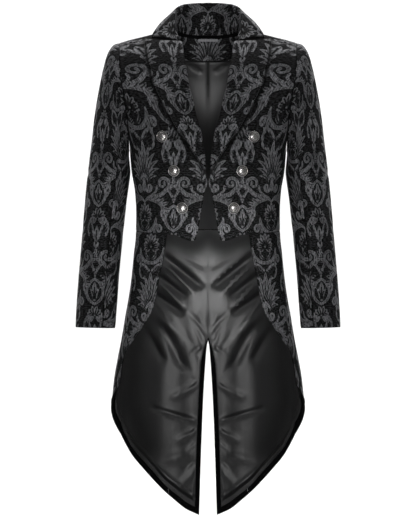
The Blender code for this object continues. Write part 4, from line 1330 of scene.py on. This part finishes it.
def collar_grid():
    """The whole collar, from the wearer's right gorge round the back of the neck to the left."""
    half = collar_lines(24)
    lines = np.concatenate([half[:0:-1] * (-1, 1, 1), half])
    even, across, along = leaf_grid(lines, (0, 0))
    along = along - along[len(along) // 2, 0]
    top = even + normals_of(even) * LEAF_WALL / 2
    return np.dstack([top, along, NECK_SEAM_DOWN - across])


COLLAR_CREASES = [
    (-150, 120, -120, 175, 10, 1.0), (150, 120, 120, 175, 10, 1.0), (-60, 96, 60, 96, 12, 0.8),
]
COLLAR_ROLL, LAPEL_ROLL = 1.4, 1.6      # mm that their edges turn under
collar = collar_grid()
if normals_of(collar[..., :3])[len(collar) // 2, -3, 1] < 0:        # the leaf must face backwards at the nape
    collar = collar[::-1]
collar = with_rolled_edges(with_creases(collar, COLLAR_CREASES), COLLAR_ROLL)
# the collar's edges get painted shadow, little of it near the neck seam
near_neck = collar[..., 4] > NECK_SEAM_DOWN - NECK_SEAM_FLAT
make_single("collar", collar, LEAF_WALL, BROCADE,
            dark_tone_and_shade=shaded_edges(collar) * np.where(near_neck, 0.2, 1.0))

# %% Lapels
LAPEL_EDGE = Table("height x", [        # free outer edge of the lapel
    (2, 140), (-17, 137), (-45, 132), (-69, 127), (-92, 122), (-118, 113), (-141, 101), (-167, 87),
    (-193, 73), (-212, 59), (-233, 43), (-256, 27), (-277, 14), (-296, 8),
])
LAPEL_TOP, LAPEL_END = (-5.5, -0.5), -286.0     # heights of the gorge's two ends, and of the lapel's foot
LAPEL_SPRING = 3.0          # mm that the canvas lifts the lapel's free edge off the chest
ROLL_SECTION = [(-0.8, -1.0), (-2.4, -0.4), (-3.4, 1.4), (-2.9, 3.6), (-0.6, 4.9)]     # along, lift
ROLL_FULL = 14.0            # width of lapel below which the roll is drawn in
LAPEL_SHADOWS = ((4.2, 1.0), (13.0, 0.5))      # half width and amount of painted shadow on the chest under the lapel's edge


def lapel_lines(rows):
    """Cross-sections of the left lapel: under the roll line, round it and out over the chest."""
    lines = []
    for row in range(rows + 1):
        down = row / rows
        inner_height = mix(LAPEL_TOP[0], LAPEL_END, down)
        inner_x = FRONT_EDGE.at(inner_height, "x")
        outer_height = mix(LAPEL_TOP[1], LAPEL_END, down ** 1.02)
        width = LAPEL_EDGE.at(outer_height, "x") - inner_x
        roll = max(0.62, min(1.0, width / ROLL_FULL))
        section = [(along * roll, (lift + 1.0) * roll - 1.0) for along, lift in ROLL_SECTION]
        rest = 1.9 * FACET + LAYER + LEAF_WALL / 2
        for share in (0.09, 0.25, 0.5, 0.78, 1.0):
            lift = rest + (ROLL_SECTION[-1][1] - rest) * roll * (1 - share) ** 2 * math.exp(-2.2 * share)
            section.append((share * width, lift + LAPEL_SPRING * roll * share ** 4))
        line = []
        for along, lift in section:
            share = max(along / width, 0.0)
            height = mix(inner_height, outer_height, share)
            point = raised(*place_at(mix(inner_x, inner_x + width, share), height), lift)
            line.append((point.x + min(along, 0.0), point.y, point.z))
        lines.append(line)
    return np.array(lines)


LAPEL_CREASES = [(20, 60, 60, 130, 12, 0.7), (10, 190, 34, 230, 9, 0.6)]
even, across, along = leaf_grid(lapel_lines(32), (46, 18))
lapel = np.dstack([even + normals_of(even) * LEAF_WALL / 2, across, along])
lapel = with_rolled_edges(with_creases(lapel, LAPEL_CREASES), LAPEL_ROLL)
# the lapel's edges get painted shadow
make_pair("lapel", lapel, LEAF_WALL, BROCADE, dark_tone_and_shade=shaded_edges(lapel))
# painted shadow on the front panel along the lapel's free edge
open_gorge = lapel[0, lapel[0, :, 0] > GORGE_END + 5]
lapel_line = np.vstack([open_gorge, lapel[::6, -1]])[:, [0, 2]]
shade_pair("front", *[(lapel_line, *mark) for mark in LAPEL_SHADOWS])

# %% [markdown]
# ## Linings, neck facing and label
# The satin hangs from the facing and the waist, a little longer than the cloth outside it, so that it never
# pulls. The spare length shows as drapes from the front hem towards the vent and as a soft pleat above the
# hem. The drapes are listed one by one: each is a segment with its own width and depth. Shade is painted on
# the satin behind the front's hem, in the curve of the side, in the back's pleat and crease and over the
# lower
# back: there it is made dark and matt.

# %% Inside grids
TAIL_AIR, BACK_AIR = 3.4, 2.0       # mm of air between the brocade and its lining, in the tails and the back


def inside_guides(places, inward):
    """Guide points inside the coat, at a depth below the outer face."""
    def guide(turn, level):
        return (*raised(turn, level, -inward), round_chest(turn, True), down_cloth(level))

    return guide_points(places, guide)


def whole(half):
    """Both halves of a grid whose last column is drawn to the middle line at the centre back."""
    half[:, -1, 0] = 0.0
    other = half[:, -2::-1] * (-1, 1, 1, -1, 1)
    return np.concatenate([half, other], axis=1)


def facing_inwards(grid):
    """The grid with its columns turned round if need be, so that its fine face looks into the coat."""
    centre = grid.shape[0] // 2, grid.shape[1] // 2
    towards_axis = -grid[centre][:3] * (1, 1, 0)
    return grid[:, ::-1] if normals_of(grid[..., :3])[centre] @ towards_axis < 0 else grid


# %% Tail lining
DRAPES = [       # x and z of both ends, half width, depth towards the inside
    (96, -478, 20, -540, 9, 8.0), (110, -520, 56, -562, 8, 7.0), (122, -558, 62, -600, 8, 6.5),
    (148, -634, 106, -700, 11, 8.0), (118, -600, 66, -650, 12, -4.0),
    (96, -640, 60, -712, 12, 5.0), (120, -815, 30, -842, 7, 3.0), (74, -788, 18, -758, 8, 3.0),
    (64, -884, 24, -862, 8, 3.0), (96, -930, 40, -915, 12, 3.0), (58, -985, 28, -950, 8, 3.0),
]
SMALL_DRAPES = [
    (88, -500, 34, -556, 5, -3.0), (100, -540, 58, -586, 5, -2.6), (60, -470, 10, -500, 8, 1.8),
    (70, -446, 16, -462, 7, -1.6), (112, -580, 84, -622, 5, -2.2), (140, -655, 112, -706, 6, -2.4),
    (40, -604, 8, -640, 6, 2.4), (28, -622, 6, -668, 4, -1.8), (24, -640, 8, -690, 4, 1.6),
    (18, -606, 13, -634, 4.6, -1.4), (6, -602, 5, -648, 4.4, -1.6), (34, -690, 14, -676, 5, -1.8),
    (50, -650, 20, -700, 7, 1.6), (70, -700, 30, -742, 7, 1.4), (60, -780, 22, -752, 4, -1.2),
    (120, -812, 28, -840, 4.5, 0.9), (44, -868, 22, -850, 4, -1.0), (44, -905, 24, -890, 4, 1.0),
    (52, -945, 30, -930, 5, -1.0), (36, -1000, 26, -960, 4, -1.0), (58, -972, 34, -940, 5, 1.0),
    (184, -740, 178, -860, 10, -1.8),
]
TURNED_HEM, VENT_SPARE = 14.0, 9.0      # mm of brocade turned in round the lining, at the hem and the vent
VENT_TURNED, VENT_FULL = -650, 60       # height where the vent's turning starts, and mm until it is full
TURNED_ANGLE = 5.0                      # degrees of it along the free front edge
PLEAT_RIDGE, PLEAT_TROUGH = (11.0, 5.5, 3.4), (24.0, 7.0, -3.0)     # mm from the hem, half width, depth
HEM_SHADOW, SIDE_SHADE = (26.0, 0.9), (40.0, 1.0)          # half width and amount of painted shadow behind the front's hem and of painted shade at the sides
HEM_BEHIND = 8.0                        # mm below the front's hem where the painted shadow on the lining is darkest


def tail_lining_places():
    corner_x, tip_x = 200.0, 30.0

    def top(share):
        return on_waist(mix(free(0)[0], 180, share))

    def bottom(share):
        x = mix(corner_x, tip_x, share)
        return place_at(x, TAIL_HEM.at(x, "height") + TURNED_HEM, True)

    def free(share):
        turn = mix(free_edge(share)[0] + TURNED_ANGLE, bottom(0)[0], turned_in(share))
        return turn, mix(WAIST_TOP / ARMPIT, bottom(0)[1], share)

    def centre(share):
        level = mix(top(1)[1], bottom(1)[1], share)
        spare = min(max((VENT_TURNED - level * ARMPIT) / VENT_FULL, 0.0), 1.0) * VENT_SPARE
        return turn_at(VENT.at(level * ARMPIT, "x") + spare, level, True), level

    return patch(top, bottom, free, centre, 24, 40, fine=0.1)


def lifted(grid, lift, lowest, settled):
    """The grid raised along its normals, at most so far down, and by nothing at its rim."""
    points = grid[..., :3]
    rise = np.maximum(lift, lowest) * off_rim(points, settled)
    grid[..., :3] = points + normals_of(points) * rise[..., None]
    return grid


def draped_tail_lining():
    inward = CLOTH + FACET + LAYER + TAIL_AIR + LINING
    grid = facing_inwards(fine_grid(inside_guides(tail_lining_places(), inward), FOLD_GRID))
    points = grid[..., :3]
    lift = crease_lift(points[..., 0], points[..., 2], DRAPES + SMALL_DRAPES)
    down = distance_to_rim(points)[0]
    from_hem = np.where(np.arange(len(down))[:, None] > len(down) // 2, down, 1e3)
    for middle, half, depth in (PLEAT_RIDGE, PLEAT_TROUGH):
        lift += depth * np.exp(-((from_hem - middle) / half) ** 2)
    return lifted(grid, lift, lowest=-4.0, settled=8.0)


tail_lining = meeting_in_the_middle(draped_tail_lining(), reach=1.6)
make_pair("tail_lining", tail_lining, LINING, SATIN, figured=False)
# painted shadow of the front's hem on the top of the tail lining, and painted shade where the lining turns
# away at the sides
front_hem_line = [(0, -430)] + [(x, FRONT_HEM.at(x, "height") - HEM_BEHIND) for x in np.linspace(28, 90, 8)]
side_line = [(150, -628), (168, -700), (172, -800), (140, -900)]
shade_pair("tail_lining", (front_hem_line, *HEM_SHADOW), (side_line, *SIDE_SHADE))


# %% Back lining
def back_lining_places():
    top_z, outer_x, inset, side_turn = -44.5, 190, 5.0, 92

    def top(share):
        return place_at(mix(outer_x, 0, share), top_z, True)

    def bottom(share):
        turn = mix(side_turn, 180, share)
        return turn, (WAIST_SEAM.at(turn, "height") + 1.5) / ARMPIT

    def outer(share):
        level = mix(top(0)[1], bottom(0)[1], share)
        return max(armhole_turn(level, True) + inset, side_turn), level

    def centre(share):
        return 180, mix(top(1)[1], bottom(1)[1], share)

    return patch(top, bottom, outer, centre, 22, 30)


BACK_DRAPES = [     # x, z, x, z, half width, depth towards the inside
    (40, -53, 18, -67, 4, -2.6), (44, -62, 22, -78, 8, 0.6), (52, -84, 26, -190, 15, 1.6),
    (80, -70, 58, -170, 14, -1.4), (60, -300, 8, -330, 10, 1.8),
    (90, -350, 20, -380, 10, -1.6), (80, -396, 16, -408, 8, 1.6),
]
BACK_SHADES = [      # x, z, x, z, half width, amount of painted shade: down the pleat, in the slanted crease, and over the lower back down to the waist
    (0, -46, 0, -96, 3.6, 0.95), (0, -96, 0, -122, 3.6, 0.65), (0, -122, 0, -150, 3.6, 0.35),
    (40, -53, 20, -66, 3.4, 0.7), (0, -215, 0, -430, 62.0, 0.92),
]
PLEAT_DEPTH, PLEAT_HALF_WIDTH, PLEAT_FOLD = 1.0, 26.0, 4.5      # how far it stands out, and its inner fold
PLEAT_END, PLEAT_FADE = -240, 120       # height where the pleat is gone, and mm over which it fades


def draped_back_lining():
    inward = CLOTH + FACET + LAYER + BACK_AIR + LINING
    grid = facing_inwards(fine_grid(whole(inside_guides(back_lining_places(), inward)), SATIN_GRID))
    x, z = grid[..., 0], grid[..., 2]
    lift = crease_lift(np.abs(x), z, BACK_DRAPES)
    fade = np.clip((z - PLEAT_END) / PLEAT_FADE, 0, 1)
    pleat = np.exp(-(x / PLEAT_HALF_WIDTH) ** 2) - np.exp(-(x / PLEAT_FOLD) ** 2)
    return lifted(grid, lift + PLEAT_DEPTH * pleat * fade, lowest=-2.0, settled=6.0)


back_lining = make_single("back_lining", draped_back_lining(), LINING, SATIN, figured=False)
# painted shade on the back lining
for start_x, start_z, end_x, end_z, half_width, amount in BACK_SHADES:
    shade_along(back_lining, [(start_x, start_z), (end_x, end_z)], half_width, amount)


# %% Neck facing and label
def neck_facing_places():
    top_x, low_x, neck_x = 92, 96, 70

    def top(share):
        x = mix(top_x, 0, share)
        if x < neck_x:
            return place_at(x, NECK_BACK.at(x, "height") - 1.0, True)
        return place_at(x, mix(16.5, 3.0, (x - neck_x) / (top_x - neck_x)), True)

    def bottom(share):
        x = mix(low_x, 0, share)
        return place_at(x, -43.5 + 22 * (x / low_x) ** 6, True)

    def outer(share):
        return tuple(mix(np.array(top(0)), np.array(bottom(0)), share))

    def centre(share):
        return 180, mix(top(1)[1], bottom(1)[1], share)

    return patch(top, bottom, outer, centre, 18, 12)


def measured(grid, middle_across, lowest):
    """The grid with its places on the cloth measured along its rows and its middle column."""
    grid, middle = grid.copy(), grid.shape[1] // 2
    across = along_rows(grid[..., :3])
    down = along_rows(grid[..., :3].swapaxes(0, 1)).T[:, middle:middle + 1]
    grid[..., 3] = across - across[:, middle:middle + 1] + middle_across
    grid[..., 4] = down - down[-1] + lowest
    return grid


FACING_DEPTH = CLOTH + 2 * FACET + LAYER + FACING       # of its inner face below the coat's outer face
FACING_DOWN, FACING_ROLL = 90, 0.4      # where its lower edge lies in the repeat, and how its edges turn
facing_guides = inside_guides(neck_facing_places(), FACING_DEPTH)
neck_facing = measured(facing_inwards(fine_grid(whole(facing_guides), THREAD_GRID)), 0, FACING_DOWN)
neck_facing = with_rolled_edges(neck_facing, FACING_ROLL)
make_single("neck_facing", neck_facing, FACING, BROCADE)

LABEL_HALF_WIDTH, LABEL_LOW, LABEL_HIGH, LABEL_WALL = 22.0, 1.8, 6.8, 1.0
LABEL_GRID, LABEL_ROLL = 0.8, 0.2
LABEL_CUT = (0.044, 0.0105, 0.0003)     # the tape is 10.5 mm wide; its long edges are folded under


def label_grid():
    places = [[place_at(x, height, True) for x in np.linspace(LABEL_HALF_WIDTH, 0, 12)]
              for height in np.linspace(LABEL_HIGH, LABEL_LOW, 5)]
    half = inside_guides(np.array(places), FACING_DEPTH + LAYER + LABEL_WALL)
    return with_rolled_edges(facing_inwards(fine_grid(whole(half), LABEL_GRID)), LABEL_ROLL)


label = label_grid()
label_tape = cloth_shell("label_tape_cloth", label, LABEL_WALL, TAPE, figured=False)
keep(label_tape, ["label"], "label_tape", LABEL_CUT)
print("label:", LABEL_CUT[0], "x", LABEL_CUT[1], "m of tape")

# %% [markdown]
# ## Buttons
# Six shank buttons, cast in metal: a dome with a ring of petals round a boss, a groove, and a roped rim.
# One button is modelled, as a grid of rings whose height is the sum of a turned profile and the relief, and
# Geometry Nodes place it at the six points where the CAD buttons sit, turned to stand off the cloth.

# %% One button
RIM_RADIUS = 12.75
DOME = Table("radius height", [     # outer face of the button, from its middle to the rim
    (0.0, 8.35), (2.2, 8.25), (4.4, 7.9), (8.2, 6.5), (9.6, 5.4), (10.35, 4.75), (11.0, 5.1), (11.7, 5.2),
    (12.3, 4.9), (RIM_RADIUS, 4.3),
])
UNDERSIDE = [(12.6, 3.5), (11.8, 2.8), (8.0, 2.5), (4.2, 2.4), (3.8, 1.2), (3.6, 0.0)]     # down to the shank
PETALS, ROPE_TURNS = 8, 26
BOSS, NOTCH, GROOVE, ROPE = 2.2, 5.6, 10.3, 11.6        # radii of the casting's parts
BUTTON_STEPS = 104          # points round each ring
UNDERSIDE_DARK = 0.7


def button_relief(radius, angle):
    """Height of the casting's relief over the dome, and how hollow the place is, for the dark finish."""
    petal = np.cos(angle * PETALS / 2) ** 2
    ring_share = np.clip((radius - 2.6) / 6.6, 0, 1)
    blade = np.sin(math.pi * ring_share) ** 0.6 * np.clip(petal * 1.6 - 0.35, 0, 1)
    notch = np.exp(-(radius - NOTCH) ** 2 - ((np.cos(angle * PETALS / 2) - 1) / 0.03) ** 2)
    boss = np.clip(1 - (radius / BOSS) ** 2, 0, 1)
    rope = 0.5 + 0.5 * np.cos(angle * ROPE_TURNS + radius * 3.2)
    rim = np.exp(-((radius - ROPE) / 0.75) ** 2)
    groove = np.exp(-((radius - GROOVE) / 0.55) ** 2)
    height = 0.3 * blade + 0.3 * np.sqrt(boss) + 0.3 * rope * rim - 0.25 * groove - 0.15 * notch
    raised_share = np.clip(blade + boss + rope * rim, 0, 1)
    hollow = 0.34 * (1 - raised_share) * (radius < 12.2) + 0.5 * groove
    return height, hollow


def make_button():
    radii = np.concatenate([[0.35, 1.2], np.linspace(2.0, RIM_RADIUS, 24)])
    turns = np.linspace(0, 2 * math.pi, BUTTON_STEPS, endpoint=False)
    relief, hollow = button_relief(*np.meshgrid(radii, turns, indexing="ij"))
    dome = np.array([DOME.at(radius, "height") for radius in radii])[:, None] + relief
    below = np.array(UNDERSIDE)
    radii = np.concatenate([radii, below[:, 0]])[:, None]
    heights = np.vstack([dome, np.repeat(below[:, 1:], BUTTON_STEPS, axis=1)])
    grid = np.stack([radii * np.cos(turns), radii * np.sin(turns), heights], -1)
    index = np.arange(heights.size).reshape(heights.shape)
    after = np.roll(index, -1, axis=1)
    quads = np.stack([index[:-1], index[1:], after[1:], after[:-1]], -1).reshape(-1, 4)
    piece = mesh_object("button_master", grid.reshape(-1, 3), (quads, [index[0]], [index[-1][::-1]]), METAL)
    dark = np.full(heights.shape, UNDERSIDE_DARK)
    dark[:len(hollow)] = hollow
    set_attribute(piece.data, "hollow", dark.ravel())
    return piece


BUTTON = make_button()
print("button:", len(BUTTON.data.polygons), "faces,", 2 * RIM_RADIUS, "mm wide")


# %% A tree that places copies of a shape at points
def new_tree(name, inputs):
    """A Geometry Nodes tree with a geometry input and output, and further named inputs."""
    tree = bpy.data.node_groups.new(name, "GeometryNodeTree")
    tree.interface.new_socket("Geometry", in_out="INPUT", socket_type="NodeSocketGeometry")
    for label_text, kind in inputs:
        tree.interface.new_socket(label_text, in_out="INPUT", socket_type=kind)
    tree.interface.new_socket("Geometry", in_out="OUTPUT", socket_type="NodeSocketGeometry")
    return tree, tree.nodes.new("NodeGroupInput"), tree.nodes.new("NodeGroupOutput")


def finished_tree(tree, copies, material, end):
    """The tree once its copies are made real, given their material and sent out."""
    solid = add_node(tree, "GeometryNodeRealizeInstances", Geometry=copies.outputs[0])
    coloured = add_node(tree, "GeometryNodeSetMaterial", Geometry=solid.outputs[0], Material=material)
    wire(tree, end, Geometry=coloured.outputs[0])
    return tree


def applied(piece, tree, values, name):
    """Runs a tree on a piece with the given inputs and puts a plain mesh object in its place."""
    modifier = piece.modifiers.new(tree.name, "NODES")
    modifier.node_group = tree
    for item in tree.interface.items_tree:
        if item.in_out == "INPUT" and item.name in values:
            modifier[item.identifier] = values[item.name]
    result = bpy.data.meshes.new_from_object(piece.evaluated_get(bpy.context.evaluated_depsgraph_get()))
    result.name = name
    bpy.data.objects.remove(piece, do_unlink=True)
    return new_object(name, result)


def seat_tree():
    """Copies an object to each point, standing along the point's "up" direction."""
    tree, start, end = new_tree("seat_on_cloth", [
        ("Button", "NodeSocketObject"), ("Material", "NodeSocketMaterial")])
    shape = add_node(tree, "GeometryNodeObjectInfo", Object=start.outputs["Button"])
    up = add_node(tree, "GeometryNodeInputNamedAttribute", {"data_type": "FLOAT_VECTOR"}, Name="up")
    turned = add_node(tree, "FunctionNodeAlignRotationToVector", {"axis": "Z"},
                      Vector=up.outputs["Attribute"])
    copies = add_node(tree, "GeometryNodeInstanceOnPoints", Points=start.outputs["Geometry"],
                      Instance=shape.outputs["Geometry"], Rotation=turned.outputs[0])
    return finished_tree(tree, copies, start.outputs["Material"], end)


# %% Seat the buttons on both fronts
BUTTONS = [(99.0, -213.4), (73.5, -288.0), (55.7, -369.4)]      # x and z on the left front, from the top
SEAT_LIFT = 0.35        # mm that the foot of the shank stands above the cloth
SEAT_TREE = seat_tree()
for side, sign in SIDES.items():
    places = [place_at(x, height) for x, height in BUTTONS]
    seats = np.array([raised(*place, SEAT_LIFT) for place in places]) * (sign, 1, 1)
    ups = np.array([outward(*place) for place in places]) * (sign, 1, 1)
    points = bpy.data.meshes.new(f"button_seats_{side}")
    points.from_pydata([tuple(seat) for seat in seats * MM], [], [])
    set_attribute(points, "up", ups)
    holder = new_object(f"button_seats_{side}", points)
    row = applied(holder, SEAT_TREE, {"Button": BUTTON, "Material": METAL}, f"buttons_{side}")
    row.data.shade_smooth()
    keep(row, [f"button_{side}_{number}" for number in (1, 2, 3)], "button_metal")
    print(row.name, len(row.data.polygons), "faces")
bpy.data.objects.remove(BUTTON, do_unlink=True)

# %% [markdown]
# ## Sewing
# Seen close, the stitches say that a garment was made by hand and machine: a pick stitch near each free
# edge, and a row of slip stitches where the lining, the facing and the label are felled down. Each run is a
# line of points on the cloth; Geometry Nodes resample it to the stitch pitch and lay a short thread at each.

# %% A tree that lays stitches along a line
def stitch_tree():
    """Lays short beads of thread end to end along the edges of a mesh."""
    tree, start, end = new_tree("run_of_stitches", [
        ("Pitch", "NodeSocketFloat"), ("Stitch Length", "NodeSocketFloat"), ("Thread", "NodeSocketFloat"),
        ("Material", "NodeSocketMaterial")])
    line = add_node(tree, "GeometryNodeMeshToCurve", Mesh=start.outputs["Geometry"])
    even = add_node(tree, "GeometryNodeResampleCurve", {"mode": "LENGTH"}, Curve=line.outputs[0],
                    Length=start.outputs["Pitch"])
    tangent = add_node(tree, "GeometryNodeInputTangent")
    along = add_node(tree, "FunctionNodeAlignRotationToVector", {"axis": "X"}, Vector=tangent.outputs[0])
    bead = add_node(tree, "GeometryNodeMeshUVSphere", Segments=6, Rings=4, Radius=0.5)
    size = add_node(tree, "ShaderNodeCombineXYZ", X=start.outputs["Stitch Length"],
                    Y=start.outputs["Thread"], Z=start.outputs["Thread"])
    threads = add_node(tree, "GeometryNodeInstanceOnPoints", Points=even.outputs[0],
                       Instance=bead.outputs["Mesh"], Rotation=along.outputs[0], Scale=size.outputs[0])
    return finished_tree(tree, threads, start.outputs["Material"], end)


# %% Lines for the stitches
EDGE_STITCH, LEAF_STITCH = 6.0, 5.0     # mm of the pick stitch from the edge, on the body and on the leaves
PITCH, STITCH, THREAD_WIDTH = 4.2, 2.4, 0.55


def line_at(grid, edge, distance, above=0.12):
    """Points on a fine grid at a distance in from one of its edges: first or last, row or column."""
    points = grid[..., :3]
    surface = points + normals_of(points) * above
    if edge in ("top", "bottom"):
        points, surface = points.swapaxes(0, 1), surface.swapaxes(0, 1)
    if edge in ("last", "bottom"):
        points, surface = points[:, ::-1], surface[:, ::-1]
    length = along_rows(points)
    line = [[np.interp(distance, across, row[:, axis]) for axis in range(3)]
            for across, row in zip(length, surface)]
    return np.array(line)


def trimmed(line, first, last):
    """The stretch of a line between two shares of its points."""
    return line[int(first * len(line)):int(last * len(line))]


def stitches(name, lines, both_sides=True, pitch=PITCH, length=STITCH):
    """Stitches along lines of the left half and, if asked, along their mirror images."""
    vertices, edges = [], []
    for line in lines:
        for sign in SIDES.values() if both_sides else (1,):
            first = len(vertices)
            vertices.extend([tuple(point * (sign * MM, MM, MM)) for point in line])
            edges.extend([(first + step, first + step + 1) for step in range(len(line) - 1)])
    mesh = bpy.data.meshes.new(name)
    mesh.from_pydata(vertices, edges, [])
    made = applied(new_object(f"{name}_line", mesh), STITCH_TREE, {
        "Pitch": pitch * MM, "Stitch Length": length * MM, "Thread": THREAD_WIDTH * MM, "Material": THREAD,
    }, name)
    made.data.shade_smooth()
    keep(made, [], "brocade")
    print(name, len(made.data.polygons), "faces")


STITCH_TREE = stitch_tree()
front, skirt, back, lining = GRIDS["front"], GRIDS["skirt"], GRIDS["back"], tail_lining
stitches("front_edge_stitches", [
    trimmed(line_at(front, "first", EDGE_STITCH), 0.62, 0.985),
    trimmed(line_at(front, "bottom", EDGE_STITCH), 0.02, 0.42),
])
stitches("lapel_stitches", [trimmed(line_at(lapel, "last", LEAF_STITCH), 0.02, 0.97)])
stitches("collar_stitches", [line_at(collar, edge, LEAF_STITCH) for edge in ("first", "last")],
         both_sides=False)
stitches("tail_stitches", [
    trimmed(line_at(skirt, "first", EDGE_STITCH), 0.02, 0.98),
    trimmed(line_at(skirt, "bottom", EDGE_STITCH), 0.02, 1.0),
    trimmed(line_at(back, "bottom", EDGE_STITCH), 0.0, 0.96),
])
stitches("lining_stitches", [
    trimmed(line_at(lining, "bottom", 1.2, 0.2), 0.02, 0.98),
    trimmed(line_at(lining, "first", 1.4, 0.2), 0.45, 0.98),
    trimmed(line_at(lining, "last", 1.4, 0.2), 0.45, 0.98),
], pitch=5.5, length=1.6)
stitches("facing_stitches", [line_at(neck_facing, "bottom", 1.6, 0.15)],
         both_sides=False, pitch=3.0, length=1.8)
stitches("label_stitches", [line_at(label, edge, 1.2, 0.1) for edge in ("first", "last")],
         both_sides=False, pitch=1.5, length=1.0)

# %% [markdown]
# ## One body, and what each piece stands for
# Nothing on this coat moves by a joint, so every piece rides on the one body. Each shell stands for its
# solid, which is hidden.

# %% Ride and replace
for name, (piece, nodes, slot, cut) in SHELLS.items():
    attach(piece, BODY)
    if nodes:
        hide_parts(*nodes)
    if cut is None:
        continue
    panel = nodes[0].removesuffix("_left").removesuffix("_right")
    side = "left" if nodes[0].endswith("_left") else "right"
print(len(SHELLS), "pieces ride on", BODY)

# %% [markdown]
# ## Studio
# The photograph is a product shot on white. One strong soft box stands far off in front, weak cards fill in
# from the floor, on the neck and on the lining of the tails, and three weak lights from the sides and above
# draw the edges. The sweep behind has its own light, which leaves it white. The camera looks straight at
# the coat from chest height with a very long lens, because the photograph shows hardly any perspective.

# %% Floor, lights and camera
FLOOR_DROP, SWEEP_START, SWEEP_DEPTH = 0.16, -0.7, 1.6      # below the coat, and in y; all in metres
SWEEP_HEIGHT, SWEEP_HALF_WIDTH = 2.6, 4.0
SWEEP_RADIUS, SWEEP_STEPS = 0.7, 12
CHEST = (0, 0, -0.35)
LIGHTS = [      # name, place, what it points at, width and height, watts, and how wide it spreads
    ("front_box", (0.1, -5.0, -0.4), CHEST, (0.8, 0.8), 78, 180),
    ("floor_card", (0, -1.9, -1.1), (0, 0, -0.1), (1.0, 0.8), 1.5, 180),
    ("neck_card", (0, -1.7, -0.55), (0, 0.1, -0.11), (0.32, 0.26), 0.42, 34),
    ("tail_card", (0, -1.7, -0.93), (0, 0.1, -0.46), (0.4, 0.3), 0.36, 16),
    ("side_left", (-3.0, -0.9, 0.9), CHEST, (0.8, 1.6), 2, 180),
    ("side_right", (3.0, -0.9, 0.9), CHEST, (0.8, 1.6), 3, 180),
    ("top_light", (0, -0.8, 2.3), CHEST, (2.0, 1.2), 6, 180),
    ("wall_light", (0, 0.5, 1.9), (0, SWEEP_DEPTH, -0.5), (3.4, 0.8), 122, 180),
]
ROOM_LIGHT, ROOM_SEEN = 0.07, 1.0       # strength of the white room on the coat, and to the camera


def make_sweep():
    """A white floor that curves up into the wall behind."""
    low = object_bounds()[0][2] - FLOOR_DROP
    bend = SWEEP_DEPTH - SWEEP_RADIUS
    line = [(SWEEP_START, low), (bend, low)]
    for step in range(1, SWEEP_STEPS + 1):
        angle = math.pi / 2 * step / SWEEP_STEPS
        line.append((bend + SWEEP_RADIUS * math.sin(angle), low + SWEEP_RADIUS * (1 - math.cos(angle))))
    line.append((SWEEP_DEPTH, low + SWEEP_HEIGHT))
    vertices = [(x, y, z) for y, z in line for x in (-SWEEP_HALF_WIDTH, SWEEP_HALF_WIDTH)]
    faces = [(2 * step, 2 * step + 1, 2 * step + 3, 2 * step + 2) for step in range(len(line) - 1)]
    mesh = bpy.data.meshes.new("studio_sweep")
    mesh.from_pydata(vertices, [], faces)
    mesh.shade_smooth()
    material, tree, shader = new_material("painted_sweep")
    shader.inputs["Base Color"].default_value = linear("#f4f4f4")
    shader.inputs["Roughness"].default_value = 0.9
    # seen from its back the wall lets the view through, so that the coat can be looked at from behind
    side = add_node(tree, "ShaderNodeNewGeometry")
    clear = add_node(tree, "ShaderNodeBsdfTransparent")
    either = add_node(tree, "ShaderNodeMixShader", _0=side.outputs["Backfacing"], _1=shader.outputs[0],
                      _2=clear.outputs[0])
    wire(tree, tree.nodes["Material Output"], Surface=either.outputs[0])
    mesh.materials.append(material)
    new_object("studio_sweep", mesh)


def area_light(name, place, target, size, power, spread):
    """A soft rectangular light in a place, turned to a target."""
    light = bpy.data.lights.new(name, "AREA")
    light.shape, light.size, light.size_y, light.energy = "RECTANGLE", *size, power
    light.spread = math.radians(spread)
    lamp = new_object(name, light)
    lamp.location = place
    lamp.visible_camera = False
    lamp.rotation_euler = (Vector(target) - Vector(place)).to_track_quat("-Z", "Y").to_euler()


make_sweep()
for light in LIGHTS:
    area_light(*light)

world = bpy.data.worlds.new("studio")
world.use_nodes = True
background = world.node_tree.nodes["Background"]
background.inputs["Color"].default_value = linear("#ffffff")
ray = add_node(world.node_tree, "ShaderNodeLightPath")
# the room is white to look at, and lights the coat only a little
strength = ranged(world.node_tree, ray.outputs["Is Camera Ray"], (ROOM_LIGHT, ROOM_SEEN))
wire(world.node_tree, background, Strength=strength)
bpy.context.scene.world = world
bpy.context.scene.view_settings.view_transform = "Standard"

PHOTO_HEIGHT, ORIGIN_ROW, PIXEL = 520, 40, 2.2 * MM         # in pixels, and a pixel's size in metres
CAMERA_HEIGHT, CAMERA_AWAY, SENSOR = -0.35, 16.0, 36.0
view_height = PHOTO_HEIGHT * PIXEL
photo_middle = (ORIGIN_ROW - PHOTO_HEIGHT / 2) * PIXEL      # height of the frame's centre
camera = bpy.data.cameras.new("camera")
camera.sensor_width = SENSOR
camera.lens = SENSOR * CAMERA_AWAY / view_height
camera.shift_y = (photo_middle - CAMERA_HEIGHT) / view_height
eye = new_object("camera", camera)
eye.location = (0, -CAMERA_AWAY, CAMERA_HEIGHT)
eye.rotation_euler = (math.pi / 2, 0, 0)
bpy.context.scene.camera = eye
print("camera:", round(camera.lens, 1), "mm lens, shift", round(camera.shift_y, 3))
